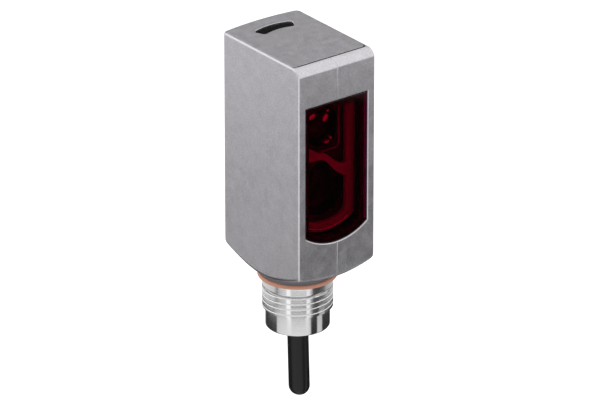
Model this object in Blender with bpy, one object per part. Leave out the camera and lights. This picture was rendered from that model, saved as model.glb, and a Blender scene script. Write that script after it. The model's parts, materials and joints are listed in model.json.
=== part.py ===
"""Retro-reflective photoelectric sensor in a small stainless housing.

Metres, +Z up. The origin lies on the axis of the threaded stem, in the plane of
the housing's flat seat. The red window looks along -Y.
"""

import math

import bmesh
import bpy
from mathutils import Vector

# Housing
HOUSING_WIDTH = 0.0155
HOUSING_DEPTH = 0.0212
HOUSING_HEIGHT = 0.0405
STEM_FROM_FRONT = 0.0105
SIDE_WALL = 0.0011
FRONT_WALL = 0.0019
REAR_BULGE = 0.00065
REAR_CORNER_RADIUS = 0.0010
FRONT_CORNER_RADIUS = 0.00035
LEAST_FILLET = 0.0001
TOP_EDGE_RADIUS = 0.0003
BROW_DEPTH = 0.0018
BROW_HEIGHT = 0.00134
SEAT_RADIUS = 0.0064
UNDERSIDE_SLOPE = math.radians(26.5)
UNDERSIDE_BLEND = 0.0016
UNDERSIDE_CLEAR = 0.00005
FLOOR_HEIGHT = 0.0044
AXIS_LINE_WIDTH = 0.00035
AXIS_LINE_DEPTH = 0.00015

# Fit between neighbouring pieces, and how far a cutter runs past a face
FIT_GAP = 0.00012
CUT_PAST = 0.001

# Top cover and its indicator slot
COVER_THICKNESS = 0.0012
COVER_RIM = 0.00045
COVER_SETBACK = 0.0019
COVER_CORNER_RADIUS = 0.0007
COVER_EDGE_BREAK = 0.00008
LEDGE_WIDTH = 0.00065
LEDGE_THICKNESS = 0.0010
SLOT_FROM_REAR = 0.0038
SLOT_ARC_RADIUS = 0.0090
SLOT_HALF_LENGTH = 0.00345
SLOT_HALF_WIDTH = 0.0011
SLOT_CORNER_RADIUS = 0.00065
SLOT_END_FLAT = 0.00004
SLOT_EDGE_BREAK = 0.00015
INDICATOR_RECESS = 0.0003
INDICATOR_FLANGE = 0.0005

# Front window
WINDOW_SIDE_MARGIN = 0.00135
WINDOW_TOP_DROP = 0.0070
WINDOW_CORNER_RISE = 0.0105
WINDOW_BOTTOM_SAG = 0.00215
WINDOW_EDGE_BREAK = 0.0002
WINDOW_THICKNESS = 0.0008
BOND_THICKNESS = 0.00016
WINDOW_RECESS = 0.00012
WINDOW_LEDGE = 0.0005

# Optics
FRAME_THICKNESS = 0.0009
FRAME_RIM = 0.0018
FRAME_INSET = 0.00045
GASKET_WIDTH = 0.0005
GASKET_THICKNESS = 0.00086
BLOCK_TOP_MARGIN = 0.0020
RIB_BELOW_WALL = 0.0008
TUBE_RATIO = 0.715
TUBE_HEAD_MARGIN = 0.0027
TUBE_WALL = 0.0026
TUBE_FOOT_MARGIN = 0.0011
LENS_RIM_THICKNESS = 0.0008
LENS_CROWN = 0.0011
LENS_RIM_WIDTH = 0.0004
FILTER_THICKNESS = 0.00025
FILTER_MARGIN = 0.00045
TUBE_TAPER = 0.6
SIDE_POCKET_DEPTH = 0.0007
SIDE_POCKET_MARGIN = 0.0012
SIDE_POCKETS = 4
POCKET_RADIUS = 0.0023
POCKET_DEPTH = 0.0017
CHANNEL_HALF_WIDTH = 0.0042
CHANNEL_HEIGHT = 0.0039
CHANNEL_FRONT_WALL = 0.0012
PEG_RADIUS = 0.0006
PEG_LENGTH = 0.0014
PEG_FROM_SIDE = 0.0012
PEG_FROM_END = 0.0012

# Heights of the wavy rib's two edges below its middle line, at shares of the half width
RIB_UPPER_EDGE = [
    (-1.0, -0.0033),
    (-0.35, -0.0015),
    (-0.05, -0.0012),
    (0.45, 0.0006),
    (0.8, 0.0015),
    (1.0, 0.0014),
]
RIB_LOWER_EDGE = [
    (-1.0, -0.0003),
    (-0.5, -0.0004),
    (-0.05, 0.0001),
    (0.45, 0.0023),
    (0.75, 0.0033),
    (1.0, 0.0039),
]

# Circuit board and what it carries
BOARD_THICKNESS = 0.0008
BOARD_SIDE_MARGIN = 0.0006
BOARD_FOOT_RISE = 0.0018
BOARD_HEAD_DROP = 0.0036
REAR_SPACE = 0.0039

# Components as width, height and how far they stand off the board
LED_SIZE = (0.0020, 0.0020, 0.0007)
LED_DOME_RADIUS = 0.0006
RECEIVER_CHIP_SIZE = (0.0018, 0.0018, 0.0005)
SHIELD_SIZE = (0.0030, 0.0030, 0.0012)
SHIELD_WALL = 0.0002
APERTURE_RADIUS = 0.0006
CONTROLLER_SIZE = (0.0040, 0.0040, 0.0009)
DRIVER_SIZE = (0.0030, 0.0022, 0.0010)
SURGE_SIZE = (0.0032, 0.0016, 0.0015)
CAPACITORS = 4
CAPACITOR_SIZE = (0.0012, 0.0008, 0.0008)
CAPACITOR_SPACING = 0.0020
RESISTORS = 2
RESISTOR_SIZE = (0.0016, 0.0008, 0.0005)
RESISTOR_SPACING = 0.0016
LAMP_SIZE = (0.0016, 0.0012, 0.0011)
LAMP_SPACING = 0.0028
COMPONENT_CORNER = 0.00005
SOLDER = 0.00006
GUIDE_HALF_LENGTH = 0.0024
GUIDE_HALF_WIDTH = 0.0005
GUIDE_END = 0.0006

# Stem, seal ring and cable
SPIGOT_RADIUS = 0.0039
SHOULDER_RADIUS = 0.00588
SHOULDER_END = 0.0030
SEAL_RING_RADIUS = 0.0062
SEAL_CORD_RADIUS = 0.0005
SEAL_DROP = 0.00098
THREAD_CREST_RADIUS = 0.00591
THREAD_CORE_RADIUS = 0.00536
THREAD_PITCH = 0.0010
THREAD_ROOT_FLAT = 0.00012
THREAD_CREST_FLAT = 0.00014
THREAD_SUNK = 0.0002
THREAD_RELIEF = 0.0003
THREAD_END = 0.0070
COLLAR_RADIUS = 0.00538
STEM_LENGTH = 0.0105
COLLAR_EDGE_BREAK = 0.0003
GLAND_RADIUS = 0.0031
GLAND_LIP = 0.0013
CABLE_RADIUS = 0.00178
CABLE_STUB = 0.0132
CABLE_END_ROUND = 0.0017
CABLE_LEAN = 0.0003
CABLE_LEAN_HEADING = math.radians(-37)
GROMMET_LENGTH = 0.0034
GROMMET_RIB = 0.0003
FERRULE_LENGTH = 0.0016
FERRULE_WALL = 0.0005
JACKET_TAIL = 0.0005
WIRE_RADIUS = 0.00040
WIRE_SPACING = 0.00047
ROW_SPACING = 0.0012
ROW_STAGGER = 0.0003
PAD_SPACING = 0.0020
PAD_RISE = 0.0002
PAD_LENGTH = 0.0016
PAD_LEAD_IN = 0.0003

# Levels and planes that the sizes above give
FRONT = -STEM_FROM_FRONT
REAR = FRONT + HOUSING_DEPTH
TOP = HOUSING_HEIGHT
REAR_RADIUS = ((HOUSING_WIDTH / 2) ** 2 + REAR_BULGE**2) / (2 * REAR_BULGE)
CAVITY_HALF = HOUSING_WIDTH / 2 - SIDE_WALL
CAVITY_FRONT = FRONT + FRONT_WALL
CAVITY_REAR = REAR - SIDE_WALL
COVER_UNDER = TOP - COVER_THICKNESS
LEDGE_UNDER = COVER_UNDER - LEDGE_THICKNESS
SLOT_Y = REAR - SLOT_FROM_REAR
WINDOW_HALF = HOUSING_WIDTH / 2 - WINDOW_SIDE_MARGIN
WINDOW_TOP = TOP - WINDOW_TOP_DROP
WINDOW_CORNER = WINDOW_CORNER_RISE
WINDOW_ARC_RADIUS = (WINDOW_HALF**2 + WINDOW_BOTTOM_SAG**2) / (2 * WINDOW_BOTTOM_SAG)
WINDOW_ARC_CENTRE = WINDOW_CORNER - WINDOW_BOTTOM_SAG + WINDOW_ARC_RADIUS
WINDOW_REBATE = WINDOW_RECESS + WINDOW_THICKNESS + BOND_THICKNESS + FIT_GAP
FRAME_FRONT = CAVITY_FRONT + GASKET_THICKNESS + 2 * FIT_GAP
FRAME_BACK = FRAME_FRONT + FRAME_THICKNESS
BLOCK_FRONT = FRAME_BACK + FIT_GAP
BOARD_BACK = CAVITY_REAR - REAR_SPACE
BOARD_FRONT = BOARD_BACK - BOARD_THICKNESS
BLOCK_BACK = BOARD_FRONT - FIT_GAP
BLOCK_FOOT = FLOOR_HEIGHT + FIT_GAP
BLOCK_HEAD = WINDOW_TOP + BLOCK_TOP_MARGIN
BLOCK_HALF = CAVITY_HALF - FIT_GAP
TUBE_SPACE = WINDOW_TOP - WINDOW_CORNER - TUBE_HEAD_MARGIN - TUBE_WALL - TUBE_FOOT_MARGIN
RECEIVER_TUBE = TUBE_SPACE / 2 / (1 + TUBE_RATIO)
SENDER_TUBE = TUBE_RATIO * RECEIVER_TUBE
RECEIVER_Z = WINDOW_CORNER + TUBE_FOOT_MARGIN + RECEIVER_TUBE
SENDER_Z = WINDOW_TOP - TUBE_HEAD_MARGIN - SENDER_TUBE
RECEIVER_RADIUS = RECEIVER_TUBE - FILTER_MARGIN - FIT_GAP
SENDER_RADIUS = SENDER_TUBE - FILTER_MARGIN - FIT_GAP
RIB_MIDDLE = SENDER_Z - SENDER_TUBE - TUBE_WALL / 2 - RIB_BELOW_WALL
LENS_SEAT = BLOCK_FRONT + FILTER_THICKNESS + LENS_CROWN + 3 * FIT_GAP
BOARD_HALF = CAVITY_HALF - BOARD_SIDE_MARGIN
BOARD_FOOT = FLOOR_HEIGHT + BOARD_FOOT_RISE
BOARD_HEAD = TOP - BOARD_HEAD_DROP - COVER_THICKNESS
PEG_X = BOARD_HALF - PEG_FROM_SIDE
PEG_LOW = BLOCK_FOOT + CHANNEL_HEIGHT + PEG_FROM_END
PEG_HIGH = BLOCK_HEAD - PEG_FROM_END
PEG_PLACES = [(x, z) for x in (-PEG_X, PEG_X) for z in (PEG_LOW, PEG_HIGH)]
CABLE_EXIT = -STEM_LENGTH
GLAND_FLOOR = CABLE_EXIT + GLAND_LIP
GROMMET_TOP = GLAND_FLOOR + FIT_GAP + GROMMET_LENGTH
FERRULE_FOOT = GROMMET_TOP + FIT_GAP
JACKET_TOP = FERRULE_FOOT + FERRULE_LENGTH + JACKET_TAIL

# Smoothness of round stretches
ROUND_STEPS = 48
UNDERSIDE_STEPS = 96
THREAD_STEPS = 40
THREAD_FADE_STEPS = 6
LENS_STEPS = 40
CABLE_STEPS = 32
SMALL_STEPS = 16
ARC_STEPS = 6
CORNER_STEPS = 3
REAR_STEPS = 10
BROW_STEPS = 8
WINDOW_FOOT_STEPS = 16
OPENING_FOOT_STEPS = 12
SLOT_STEPS = 8
ROUTE_STEPS = 4
CROWN_STEPS = 5
TIP_STEPS = 5
TIP_CLOSURE = math.radians(82)
SHARP_ANGLE = math.radians(32)


def clear_scene():
    for old in list(bpy.data.objects):
        bpy.data.objects.remove(old, do_unlink=True)


def make_material(name, colour, roughness, metallic=0.0, transmission=0.0):
    made = bpy.data.materials.new(name)
    made.use_nodes = True
    shader = made.node_tree.nodes["Principled BSDF"]
    shader.inputs["Base Color"].default_value = (*colour, 1.0)
    shader.inputs["Roughness"].default_value = roughness
    shader.inputs["Metallic"].default_value = metallic
    shader.inputs["Transmission Weight"].default_value = transmission
    made.diffuse_color = (*colour, 1.0)
    return made


def add_object(name, data, material):
    """Links one named sub-part or tool; a tool has no material."""
    made = bpy.data.objects.new(name, data)
    bpy.context.scene.collection.objects.link(made)
    if material is not None:
        data.materials.append(material)
    return made


def shade_round(mesh):
    """Shades round stretches smooth and keeps real edges sharp."""
    mesh.shade_smooth()
    mesh.set_sharp_from_angle(angle=SHARP_ANGLE)


def solid_from_bmesh(name, bm, material):
    bmesh.ops.recalc_face_normals(bm, faces=bm.faces[:])
    mesh = bpy.data.meshes.new(name)
    bm.to_mesh(mesh)
    bm.free()
    shade_round(mesh)
    return add_object(name, mesh, material)


def apply_cuts():
    """Applies each sub-part's Booleans, removes their tools and shades the result."""
    depsgraph = bpy.context.evaluated_depsgraph_get()
    worked = [ob for ob in bpy.data.objects if ob.modifiers and not ob.hide_render]
    results = [(ob, bpy.data.meshes.new_from_object(ob.evaluated_get(depsgraph))) for ob in worked]
    for ob, mesh in results:
        ob.modifiers.clear()
        ob.data = mesh
        mesh.name = ob.name
        shade_round(mesh)
    for tool in [ob for ob in bpy.data.objects if ob.hide_render]:
        bpy.data.objects.remove(tool, do_unlink=True)


def loft(name, sections, material=None):
    """Skins closed sections that have the same number of points, and caps both ends."""
    bm = bmesh.new()
    rings = [[bm.verts.new(point) for point in section] for section in sections]
    for low, high in zip(rings, rings[1:]):
        for i in range(len(low)):
            j = (i + 1) % len(low)
            bm.faces.new((low[i], low[j], high[j], high[i]))
    bm.faces.new(rings[0])
    bm.faces.new(rings[-1])
    return solid_from_bmesh(name, bm, material)


def turned(name, profile, material=None, steps=ROUND_STEPS, centre=(0.0, 0.0, 0.0), along="Z"):
    """Turns a closed profile of (radius, height) points about an axis through centre.

    A profile that starts and ends on the axis makes a solid body, any other a ring.
    """
    bm = bmesh.new()
    rings = []
    for radius, height in profile:
        count = 1 if radius < 1e-9 else steps
        ring = []
        for i in range(count):
            turn = 2 * math.pi * i / steps
            flat = (radius * math.cos(turn), radius * math.sin(turn))
            spot = (flat[0], flat[1], height) if along == "Z" else (flat[0], height, flat[1])
            ring.append(bm.verts.new(Vector(spot) + Vector(centre)))
        rings.append(ring)
    pairs = list(zip(rings, rings[1:]))
    if len(rings[0]) > 1:
        pairs.append((rings[-1], rings[0]))
    for low, high in pairs:
        for i in range(steps):
            j = (i + 1) % steps
            corners = (low[i % len(low)], low[j % len(low)], high[j % len(high)], high[i % len(high)])
            unique = list(dict.fromkeys(corners))
            if len(unique) > 2:
                bm.faces.new(unique)
    return solid_from_bmesh(name, bm, material)


def block(name, low, high, material=None):
    """A plain block between two opposite corners."""
    (x0, y0, z0), (x1, y1, z1) = low, high
    flat = [(x0, y0), (x1, y0), (x1, y1), (x0, y1)]
    return loft(name, [[(x, y, z) for x, y in flat] for z in (z0, z1)], material)


def boolean(target, tool, operation):
    """Cuts target by tool, or joins tool to it, and hides the tool."""
    step = target.modifiers.new(tool.name, "BOOLEAN")
    step.operation = operation
    step.solver = "EXACT"
    step.object = tool
    tool.hide_render = True
    tool.display_type = "WIRE"


def cut(target, *tools):
    for tool in tools:
        boolean(target, tool, "DIFFERENCE")


def join(target, *tools):
    for tool in tools:
        boolean(target, tool, "UNION")


def round_cutter(name, radius, reach, centre):
    """A small cylinder along Y, from CUT_PAST ahead of its centre to reach behind it."""
    profile = [(0.0, -CUT_PAST), (radius, -CUT_PAST), (radius, reach), (0.0, reach)]
    return turned(name, profile, steps=SMALL_STEPS, centre=centre, along="Y")


def arc(centre, radius, start, end, steps):
    """Points on a circular arc in the plane, both ends included; angles in radians."""
    return [
        (
            centre[0] + radius * math.cos(start + (end - start) * i / steps),
            centre[1] + radius * math.sin(start + (end - start) * i / steps),
        )
        for i in range(steps + 1)
    ]


def rounded_box(half_x, half_y, corner, steps=CORNER_STEPS):
    """Outline of a rectangle with round corners, centred on the origin."""
    corners = [(1, -1, -90), (1, 1, 0), (-1, 1, 90), (-1, -1, 180)]
    points = []
    for side_x, side_y, start in corners:
        centre = (side_x * (half_x - corner), side_y * (half_y - corner))
        points += arc(centre, corner, math.radians(start), math.radians(start + 90), steps)
    return points


def plan_outline(inset, front=FRONT, front_radius=FRONT_CORNER_RADIUS):
    """The housing seen from above, drawn in by inset: flat front and sides, bowed rear."""
    half = HOUSING_WIDTH / 2 - inset
    bow_centre = REAR - REAR_RADIUS
    bow = REAR_RADIUS - inset
    rear_fillet = max(REAR_CORNER_RADIUS - inset, LEAST_FILLET)
    front_fillet = max(front_radius, LEAST_FILLET)
    reach = bow - rear_fillet
    fillet_y = bow_centre + math.sqrt(reach**2 - (half - rear_fillet) ** 2)
    meet = math.atan2(fillet_y - bow_centre, half - rear_fillet)
    quarter = math.pi / 2
    right = arc((half - front_fillet, front + front_fillet), front_fillet, -quarter, 0, CORNER_STEPS)
    right += arc((half - rear_fillet, fillet_y), rear_fillet, 0, meet, ARC_STEPS)
    bowed = arc((0.0, bow_centre), bow, meet, math.pi - meet, REAR_STEPS)[1:-1]
    left = [(-x, y) for x, y in reversed(right)]
    return right + bowed + left


def at_height(outline, height):
    return [(x, y, height) for x, y in outline]


def window_outline(inset):
    """The window seen from the front as (x, z), drawn in by inset: square head, bowed foot."""
    half = WINDOW_HALF - inset
    head = WINDOW_TOP - inset
    radius = WINDOW_ARC_RADIUS - inset
    swing = math.asin(half / radius)
    down = -math.pi / 2
    foot = arc((0.0, WINDOW_ARC_CENTRE), radius, down - swing, down + swing, WINDOW_FOOT_STEPS)
    return foot + [(half, head), (-half, head)]


def at_depth(outline, depth):
    return [(x, depth, z) for x, z in outline]


def slot_outline(outset, half_length=SLOT_HALF_LENGTH, half_width=SLOT_HALF_WIDTH, centre_y=SLOT_Y):
    """The bowed indicator slot seen from above, let out by outset."""
    corner = min(SLOT_CORNER_RADIUS + outset, half_width + outset - SLOT_END_FLAT / 2)
    straight = rounded_box(half_length + outset, half_width + outset, corner)
    refined = []
    for i, (along, across) in enumerate(straight):
        after = straight[(i + 1) % len(straight)]
        refined.append((along, across))
        if abs(after[0] - along) > half_length:
            for k in range(1, SLOT_STEPS):
                share = k / SLOT_STEPS
                refined.append((along + (after[0] - along) * share, across + (after[1] - across) * share))
    bent = []
    for along, across in refined:
        turn = along / SLOT_ARC_RADIUS
        radius = SLOT_ARC_RADIUS + across
        bent.append((radius * math.sin(turn), centre_y - SLOT_ARC_RADIUS + radius * math.cos(turn)))
    return bent


def smooth_route(points, steps):
    """A smooth curve through hand-chosen points, whose slope at each is that of its neighbours."""
    spots = [Vector(p) for p in points]
    ends = [2 * spots[0] - spots[1], *spots, 2 * spots[-1] - spots[-2]]
    slopes = [(after - before).normalized() for before, after in zip(ends, ends[2:])]
    route = []
    for a, b, slope_a, slope_b in zip(spots, spots[1:], slopes, slopes[1:]):
        chord = (b - a).length
        for i in range(steps):
            t = i / steps
            leave = (t - 2 * t**2 + t**3) * chord * slope_a
            arrive = (t**3 - t**2) * chord * slope_b
            route.append(a + (b - a) * (3 * t**2 - 2 * t**3) + leave + arrive)
    return [*route, spots[-1]]


def underside_cutter():
    """What is turned away below the housing: a shallow cone that rolls up into the corners."""
    rise = math.tan(UNDERSIDE_SLOPE)
    low = -CUT_PAST
    outer = math.hypot(HOUSING_WIDTH / 2, max(REAR, -FRONT)) + UNDERSIDE_CLEAR
    blend_x = outer - UNDERSIDE_BLEND
    cone_x = blend_x + UNDERSIDE_BLEND * math.sin(UNDERSIDE_SLOPE)
    cone_z = (cone_x - SEAT_RADIUS) * rise
    blend_z = cone_z + UNDERSIDE_BLEND * math.cos(UNDERSIDE_SLOPE)
    start = -math.pi / 2 + UNDERSIDE_SLOPE
    roll = arc((blend_x, blend_z), UNDERSIDE_BLEND, start, 0.0, ARC_STEPS)
    far = outer + CUT_PAST
    profile = [(SEAT_RADIUS + low / rise, low), *roll, (far, roll[-1][1]), (far, low)]
    return turned("underside_cutter", profile, steps=UNDERSIDE_STEPS)


def brow_cutter():
    """What is rounded off along the front of the top."""
    centre = (FRONT + BROW_DEPTH, TOP - BROW_HEIGHT)
    profile = [(FRONT - CUT_PAST, centre[1])]
    for i in range(BROW_STEPS + 1):
        turn = math.pi - (math.pi / 2) * i / BROW_STEPS
        profile.append((centre[0] + BROW_DEPTH * math.cos(turn), centre[1] + BROW_HEIGHT * math.sin(turn)))
    profile += [(centre[0], TOP + CUT_PAST), (FRONT - CUT_PAST, TOP + CUT_PAST)]
    half = HOUSING_WIDTH / 2 + CUT_PAST
    return loft("brow_cutter", [[(x, y, z) for y, z in profile] for x in (-half, half)])


def make_housing(steel):
    edge = TOP_EDGE_RADIUS
    sections = [at_height(plan_outline(0.0), 0.0)]
    for i in range(CORNER_STEPS + 1):
        turn = (math.pi / 2) * i / CORNER_STEPS
        inset = edge * (1 - math.cos(turn))
        ring = plan_outline(inset, FRONT + inset, FRONT_CORNER_RADIUS - inset)
        sections.append(at_height(ring, TOP - edge + edge * math.sin(turn)))
    housing = loft("housing", sections, steel)

    cavity = loft(
        "cavity_cutter",
        [at_height(plan_outline(SIDE_WALL, CAVITY_FRONT), z) for z in (FLOOR_HEIGHT, LEDGE_UNDER)],
    )
    ledge_front = FRONT + COVER_SETBACK + LEDGE_WIDTH
    throat_inset = COVER_RIM + LEDGE_WIDTH
    throat = loft(
        "throat_cutter",
        [
            at_height(plan_outline(throat_inset, ledge_front, COVER_CORNER_RADIUS), z)
            for z in (LEDGE_UNDER - CUT_PAST, TOP + CUT_PAST)
        ],
    )
    recess = loft(
        "cover_recess_cutter",
        [
            at_height(plan_outline(COVER_RIM, FRONT + COVER_SETBACK, COVER_CORNER_RADIUS), z)
            for z in (COVER_UNDER - FIT_GAP, TOP + CUT_PAST)
        ],
    )
    past = WINDOW_EDGE_BREAK + CUT_PAST
    rebate = loft(
        "window_rebate_cutter",
        [
            at_depth(window_outline(-past), FRONT - CUT_PAST),
            at_depth(window_outline(0.0), FRONT + WINDOW_EDGE_BREAK),
            at_depth(window_outline(0.0), FRONT + WINDOW_REBATE),
        ],
    )
    opening = loft(
        "window_opening_cutter",
        [at_depth(window_outline(WINDOW_LEDGE), y) for y in (FRONT, CAVITY_FRONT + CUT_PAST)],
    )
    socket_radius = SPIGOT_RADIUS + FIT_GAP
    past_floor = FLOOR_HEIGHT + CUT_PAST
    bore = [(0.0, -CUT_PAST), (socket_radius, -CUT_PAST), (socket_radius, past_floor), (0.0, past_floor)]
    socket = turned("stem_socket_cutter", bore)
    line_half = AXIS_LINE_WIDTH / 2
    axis_line = block(
        "axis_line_cutter",
        (-line_half, FRONT - CUT_PAST, -CUT_PAST),
        (line_half, FRONT + AXIS_LINE_DEPTH, TOP + CUT_PAST),
    )
    cut(housing, brow_cutter(), underside_cutter(), cavity, throat, recess)
    cut(housing, rebate, opening, socket, axis_line)


def make_top_cover(steel):
    inset = COVER_RIM + FIT_GAP
    front = FRONT + COVER_SETBACK + FIT_GAP
    corner = COVER_CORNER_RADIUS - FIT_GAP
    edge = COVER_EDGE_BREAK
    cover = loft(
        "top_cover",
        [
            at_height(plan_outline(inset, front, corner), COVER_UNDER),
            at_height(plan_outline(inset, front, corner), TOP - edge),
            at_height(plan_outline(inset + edge, front + edge, corner - edge), TOP),
        ],
        steel,
    )
    rim = SLOT_EDGE_BREAK
    slot = loft(
        "slot_cutter",
        [
            at_height(slot_outline(0.0), COVER_UNDER - CUT_PAST),
            at_height(slot_outline(0.0), TOP - rim),
            at_height(slot_outline(rim + CUT_PAST), TOP + CUT_PAST),
        ],
    )
    cut(cover, slot)
    return cover


def make_indicator_window(smoked):
    """The smoked insert that fills the slot and hangs on a flange under the cover."""
    flange_top = COVER_UNDER - FIT_GAP
    return loft(
        "indicator_window",
        [
            at_height(slot_outline(INDICATOR_FLANGE), flange_top - INDICATOR_FLANGE),
            at_height(slot_outline(INDICATOR_FLANGE), flange_top),
            at_height(slot_outline(-FIT_GAP), flange_top),
            at_height(slot_outline(-FIT_GAP), TOP - INDICATOR_RECESS),
        ],
        smoked,
    )


def make_front_window(red_acrylic):
    face = FRONT + WINDOW_RECESS
    edge = FIT_GAP
    outer = window_outline(FIT_GAP)
    return loft(
        "front_window",
        [
            at_depth(window_outline(FIT_GAP + edge), face),
            at_depth(outer, face + edge),
            at_depth(outer, face + WINDOW_THICKNESS),
        ],
        red_acrylic,
    )


def frame_ring(name, outer, inner, near, far, material):
    """A flat closed frame between two outlines, from the plane near to the plane far."""
    made = loft(name, [at_depth(outer, near), at_depth(outer, far)], material)
    middle = loft(name + "_cutter", [at_depth(inner, near - CUT_PAST), at_depth(inner, far + CUT_PAST)])
    cut(made, middle)
    return made


def make_window_bond(rubber):
    near = FRONT + WINDOW_RECESS + WINDOW_THICKNESS + FIT_GAP / 2
    far = near + BOND_THICKNESS
    return frame_ring(
        "window_bond", window_outline(FIT_GAP), window_outline(WINDOW_LEDGE), near, far, rubber
    )


def make_light_gasket(foam):
    near = CAVITY_FRONT + FIT_GAP
    far = FRAME_FRONT - FIT_GAP
    inner = window_outline(FRAME_INSET)
    outer = window_outline(FRAME_INSET - GASKET_WIDTH)
    return frame_ring("light_gasket", outer, inner, near, far, foam)


def rib_edge(shares, half):
    """One edge of the wavy rib between the two optical channels, from left to right."""
    points = [(share * half, 0.0, RIB_MIDDLE - drop) for share, drop in shares]
    return [(p.x, p.z) for p in smooth_route(points, ROUTE_STEPS)]


def make_lens_frame(plastic):
    outer = window_outline(FRAME_INSET)
    frame = loft("lens_frame", [at_depth(outer, FRAME_FRONT), at_depth(outer, FRAME_BACK)], plastic)
    half = WINDOW_HALF - FRAME_INSET - FRAME_RIM
    head = WINDOW_TOP - FRAME_INSET - FRAME_RIM
    radius = WINDOW_ARC_RADIUS - FRAME_INSET - FRAME_RIM
    swing = math.asin(half / radius)
    down = -math.pi / 2
    foot = arc((0.0, WINDOW_ARC_CENTRE), radius, down - swing, down + swing, OPENING_FOOT_STEPS)
    upper = rib_edge(RIB_UPPER_EDGE, half) + [(half, head), (-half, head)]
    lower = foot + list(reversed(rib_edge(RIB_LOWER_EDGE, half)))
    planes = (FRAME_FRONT - CUT_PAST, FRAME_BACK + CUT_PAST)
    cut(
        frame,
        loft("upper_opening_cutter", [at_depth(upper, y) for y in planes]),
        loft("lower_opening_cutter", [at_depth(lower, y) for y in planes]),
    )
    return frame


def lens_profile(radius):
    """Half section of a plano-convex lens with a thin rim; its crown points along -Y."""
    rim = radius - LENS_RIM_WIDTH
    sphere = (rim**2 + LENS_CROWN**2) / (2 * LENS_CROWN)
    swing = math.asin(rim / sphere)
    crown = []
    for i in range(CROWN_STEPS + 1):
        turn = swing * i / CROWN_STEPS
        crown.append((sphere * math.sin(turn), sphere - LENS_CROWN - sphere * math.cos(turn)))
    return [*crown, (radius, 0.0), (radius, LENS_RIM_THICKNESS), (0.0, LENS_RIM_THICKNESS)]


def side_pocket_cutters():
    """Shallow pockets down both sides of the block, which keep its walls even when it is moulded."""
    low = BLOCK_FOOT + CHANNEL_HEIGHT + SIDE_POCKET_MARGIN
    pitch = (BLOCK_HEAD - low) / SIDE_POCKETS
    near = BLOCK_FRONT + SIDE_POCKET_MARGIN
    far = BLOCK_BACK - SIDE_POCKET_MARGIN
    cutters = []
    for side in (-1, 1):
        inner = side * (BLOCK_HALF - SIDE_POCKET_DEPTH)
        outer = side * (BLOCK_HALF + CUT_PAST)
        x0, x1 = sorted((inner, outer))
        for i in range(SIDE_POCKETS):
            z0 = low + i * pitch
            z1 = z0 + pitch - SIDE_POCKET_MARGIN
            cutters.append(block("side_pocket_cutter", (x0, near, z0), (x1, far, z1)))
    return cutters


def make_optics_block(black_plastic):
    low = (-BLOCK_HALF, BLOCK_FRONT, BLOCK_FOOT)
    high = (BLOCK_HALF, BLOCK_BACK, BLOCK_HEAD)
    body = block("optics_block", low, high, black_plastic)
    for x, z in PEG_PLACES:
        join(body, round_cutter("peg_tool", PEG_RADIUS, PEG_LENGTH, (x, BLOCK_BACK, z)))
    for name, z, radius in (("sender", SENDER_Z, SENDER_RADIUS), ("receiver", RECEIVER_Z, RECEIVER_RADIUS)):
        seat = LENS_SEAT + LENS_RIM_THICKNESS + FIT_GAP
        throat = radius - 2 * FILTER_MARGIN
        profile = [
            (0.0, BLOCK_FRONT - CUT_PAST),
            (radius + FILTER_MARGIN + FIT_GAP, BLOCK_FRONT - CUT_PAST),
            (radius + FILTER_MARGIN + FIT_GAP, BLOCK_FRONT + FILTER_THICKNESS + 2 * FIT_GAP),
            (radius + FIT_GAP, BLOCK_FRONT + FILTER_THICKNESS + 2 * FIT_GAP),
            (radius + FIT_GAP, seat),
            (throat, seat),
            (throat * TUBE_TAPER, BLOCK_BACK - POCKET_DEPTH),
            (POCKET_RADIUS, BLOCK_BACK - POCKET_DEPTH),
            (POCKET_RADIUS, BLOCK_BACK + CUT_PAST),
            (0.0, BLOCK_BACK + CUT_PAST),
        ]
        cut(body, turned(name + "_tube_cutter", profile, steps=LENS_STEPS, centre=(0.0, 0.0, z), along="Y"))
    cut(body, *side_pocket_cutters())
    channel = block(
        "wire_channel_cutter",
        (-CHANNEL_HALF_WIDTH, BLOCK_FRONT + CHANNEL_FRONT_WALL, BLOCK_FOOT - CUT_PAST),
        (CHANNEL_HALF_WIDTH, BLOCK_BACK + CUT_PAST, BLOCK_FOOT + CHANNEL_HEIGHT),
    )
    cut(body, channel)


def make_lens(name, z, radius, glass):
    centre = (0.0, LENS_SEAT, z)
    return turned(name, lens_profile(radius), glass, steps=LENS_STEPS, centre=centre, along="Y")


def make_filter(name, z, radius, film):
    """A thin round polarising filter in the shallow seat ahead of its lens."""
    near = BLOCK_FRONT + FIT_GAP
    disc = radius + FILTER_MARGIN
    profile = [(0.0, 0.0), (disc, 0.0), (disc, FILTER_THICKNESS), (0.0, FILTER_THICKNESS)]
    return turned(name, profile, film, steps=LENS_STEPS, centre=(0.0, near, z), along="Y")


def on_board(name, x, z, size, material, side=1):
    """A small component: size is width, height and how far it stands off the board."""
    width, height, tall = size
    start = BOARD_BACK + SOLDER if side > 0 else BOARD_FRONT - SOLDER - tall
    outline = rounded_box(width / 2, height / 2, COMPONENT_CORNER, steps=1)
    placed = [(x + px, z + pz) for px, pz in outline]
    return loft(name, [at_depth(placed, start), at_depth(placed, start + tall)], material)


def make_board(laminate):
    low = (-BOARD_HALF, BOARD_FRONT, BOARD_FOOT)
    high = (BOARD_HALF, BOARD_BACK, BOARD_HEAD)
    board = block("main_board", low, high, laminate)
    reach = BOARD_THICKNESS + CUT_PAST
    for x, z in PEG_PLACES:
        cut(board, round_cutter("peg_hole_cutter", PEG_RADIUS + FIT_GAP, reach, (x, BOARD_FRONT, z)))


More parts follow.
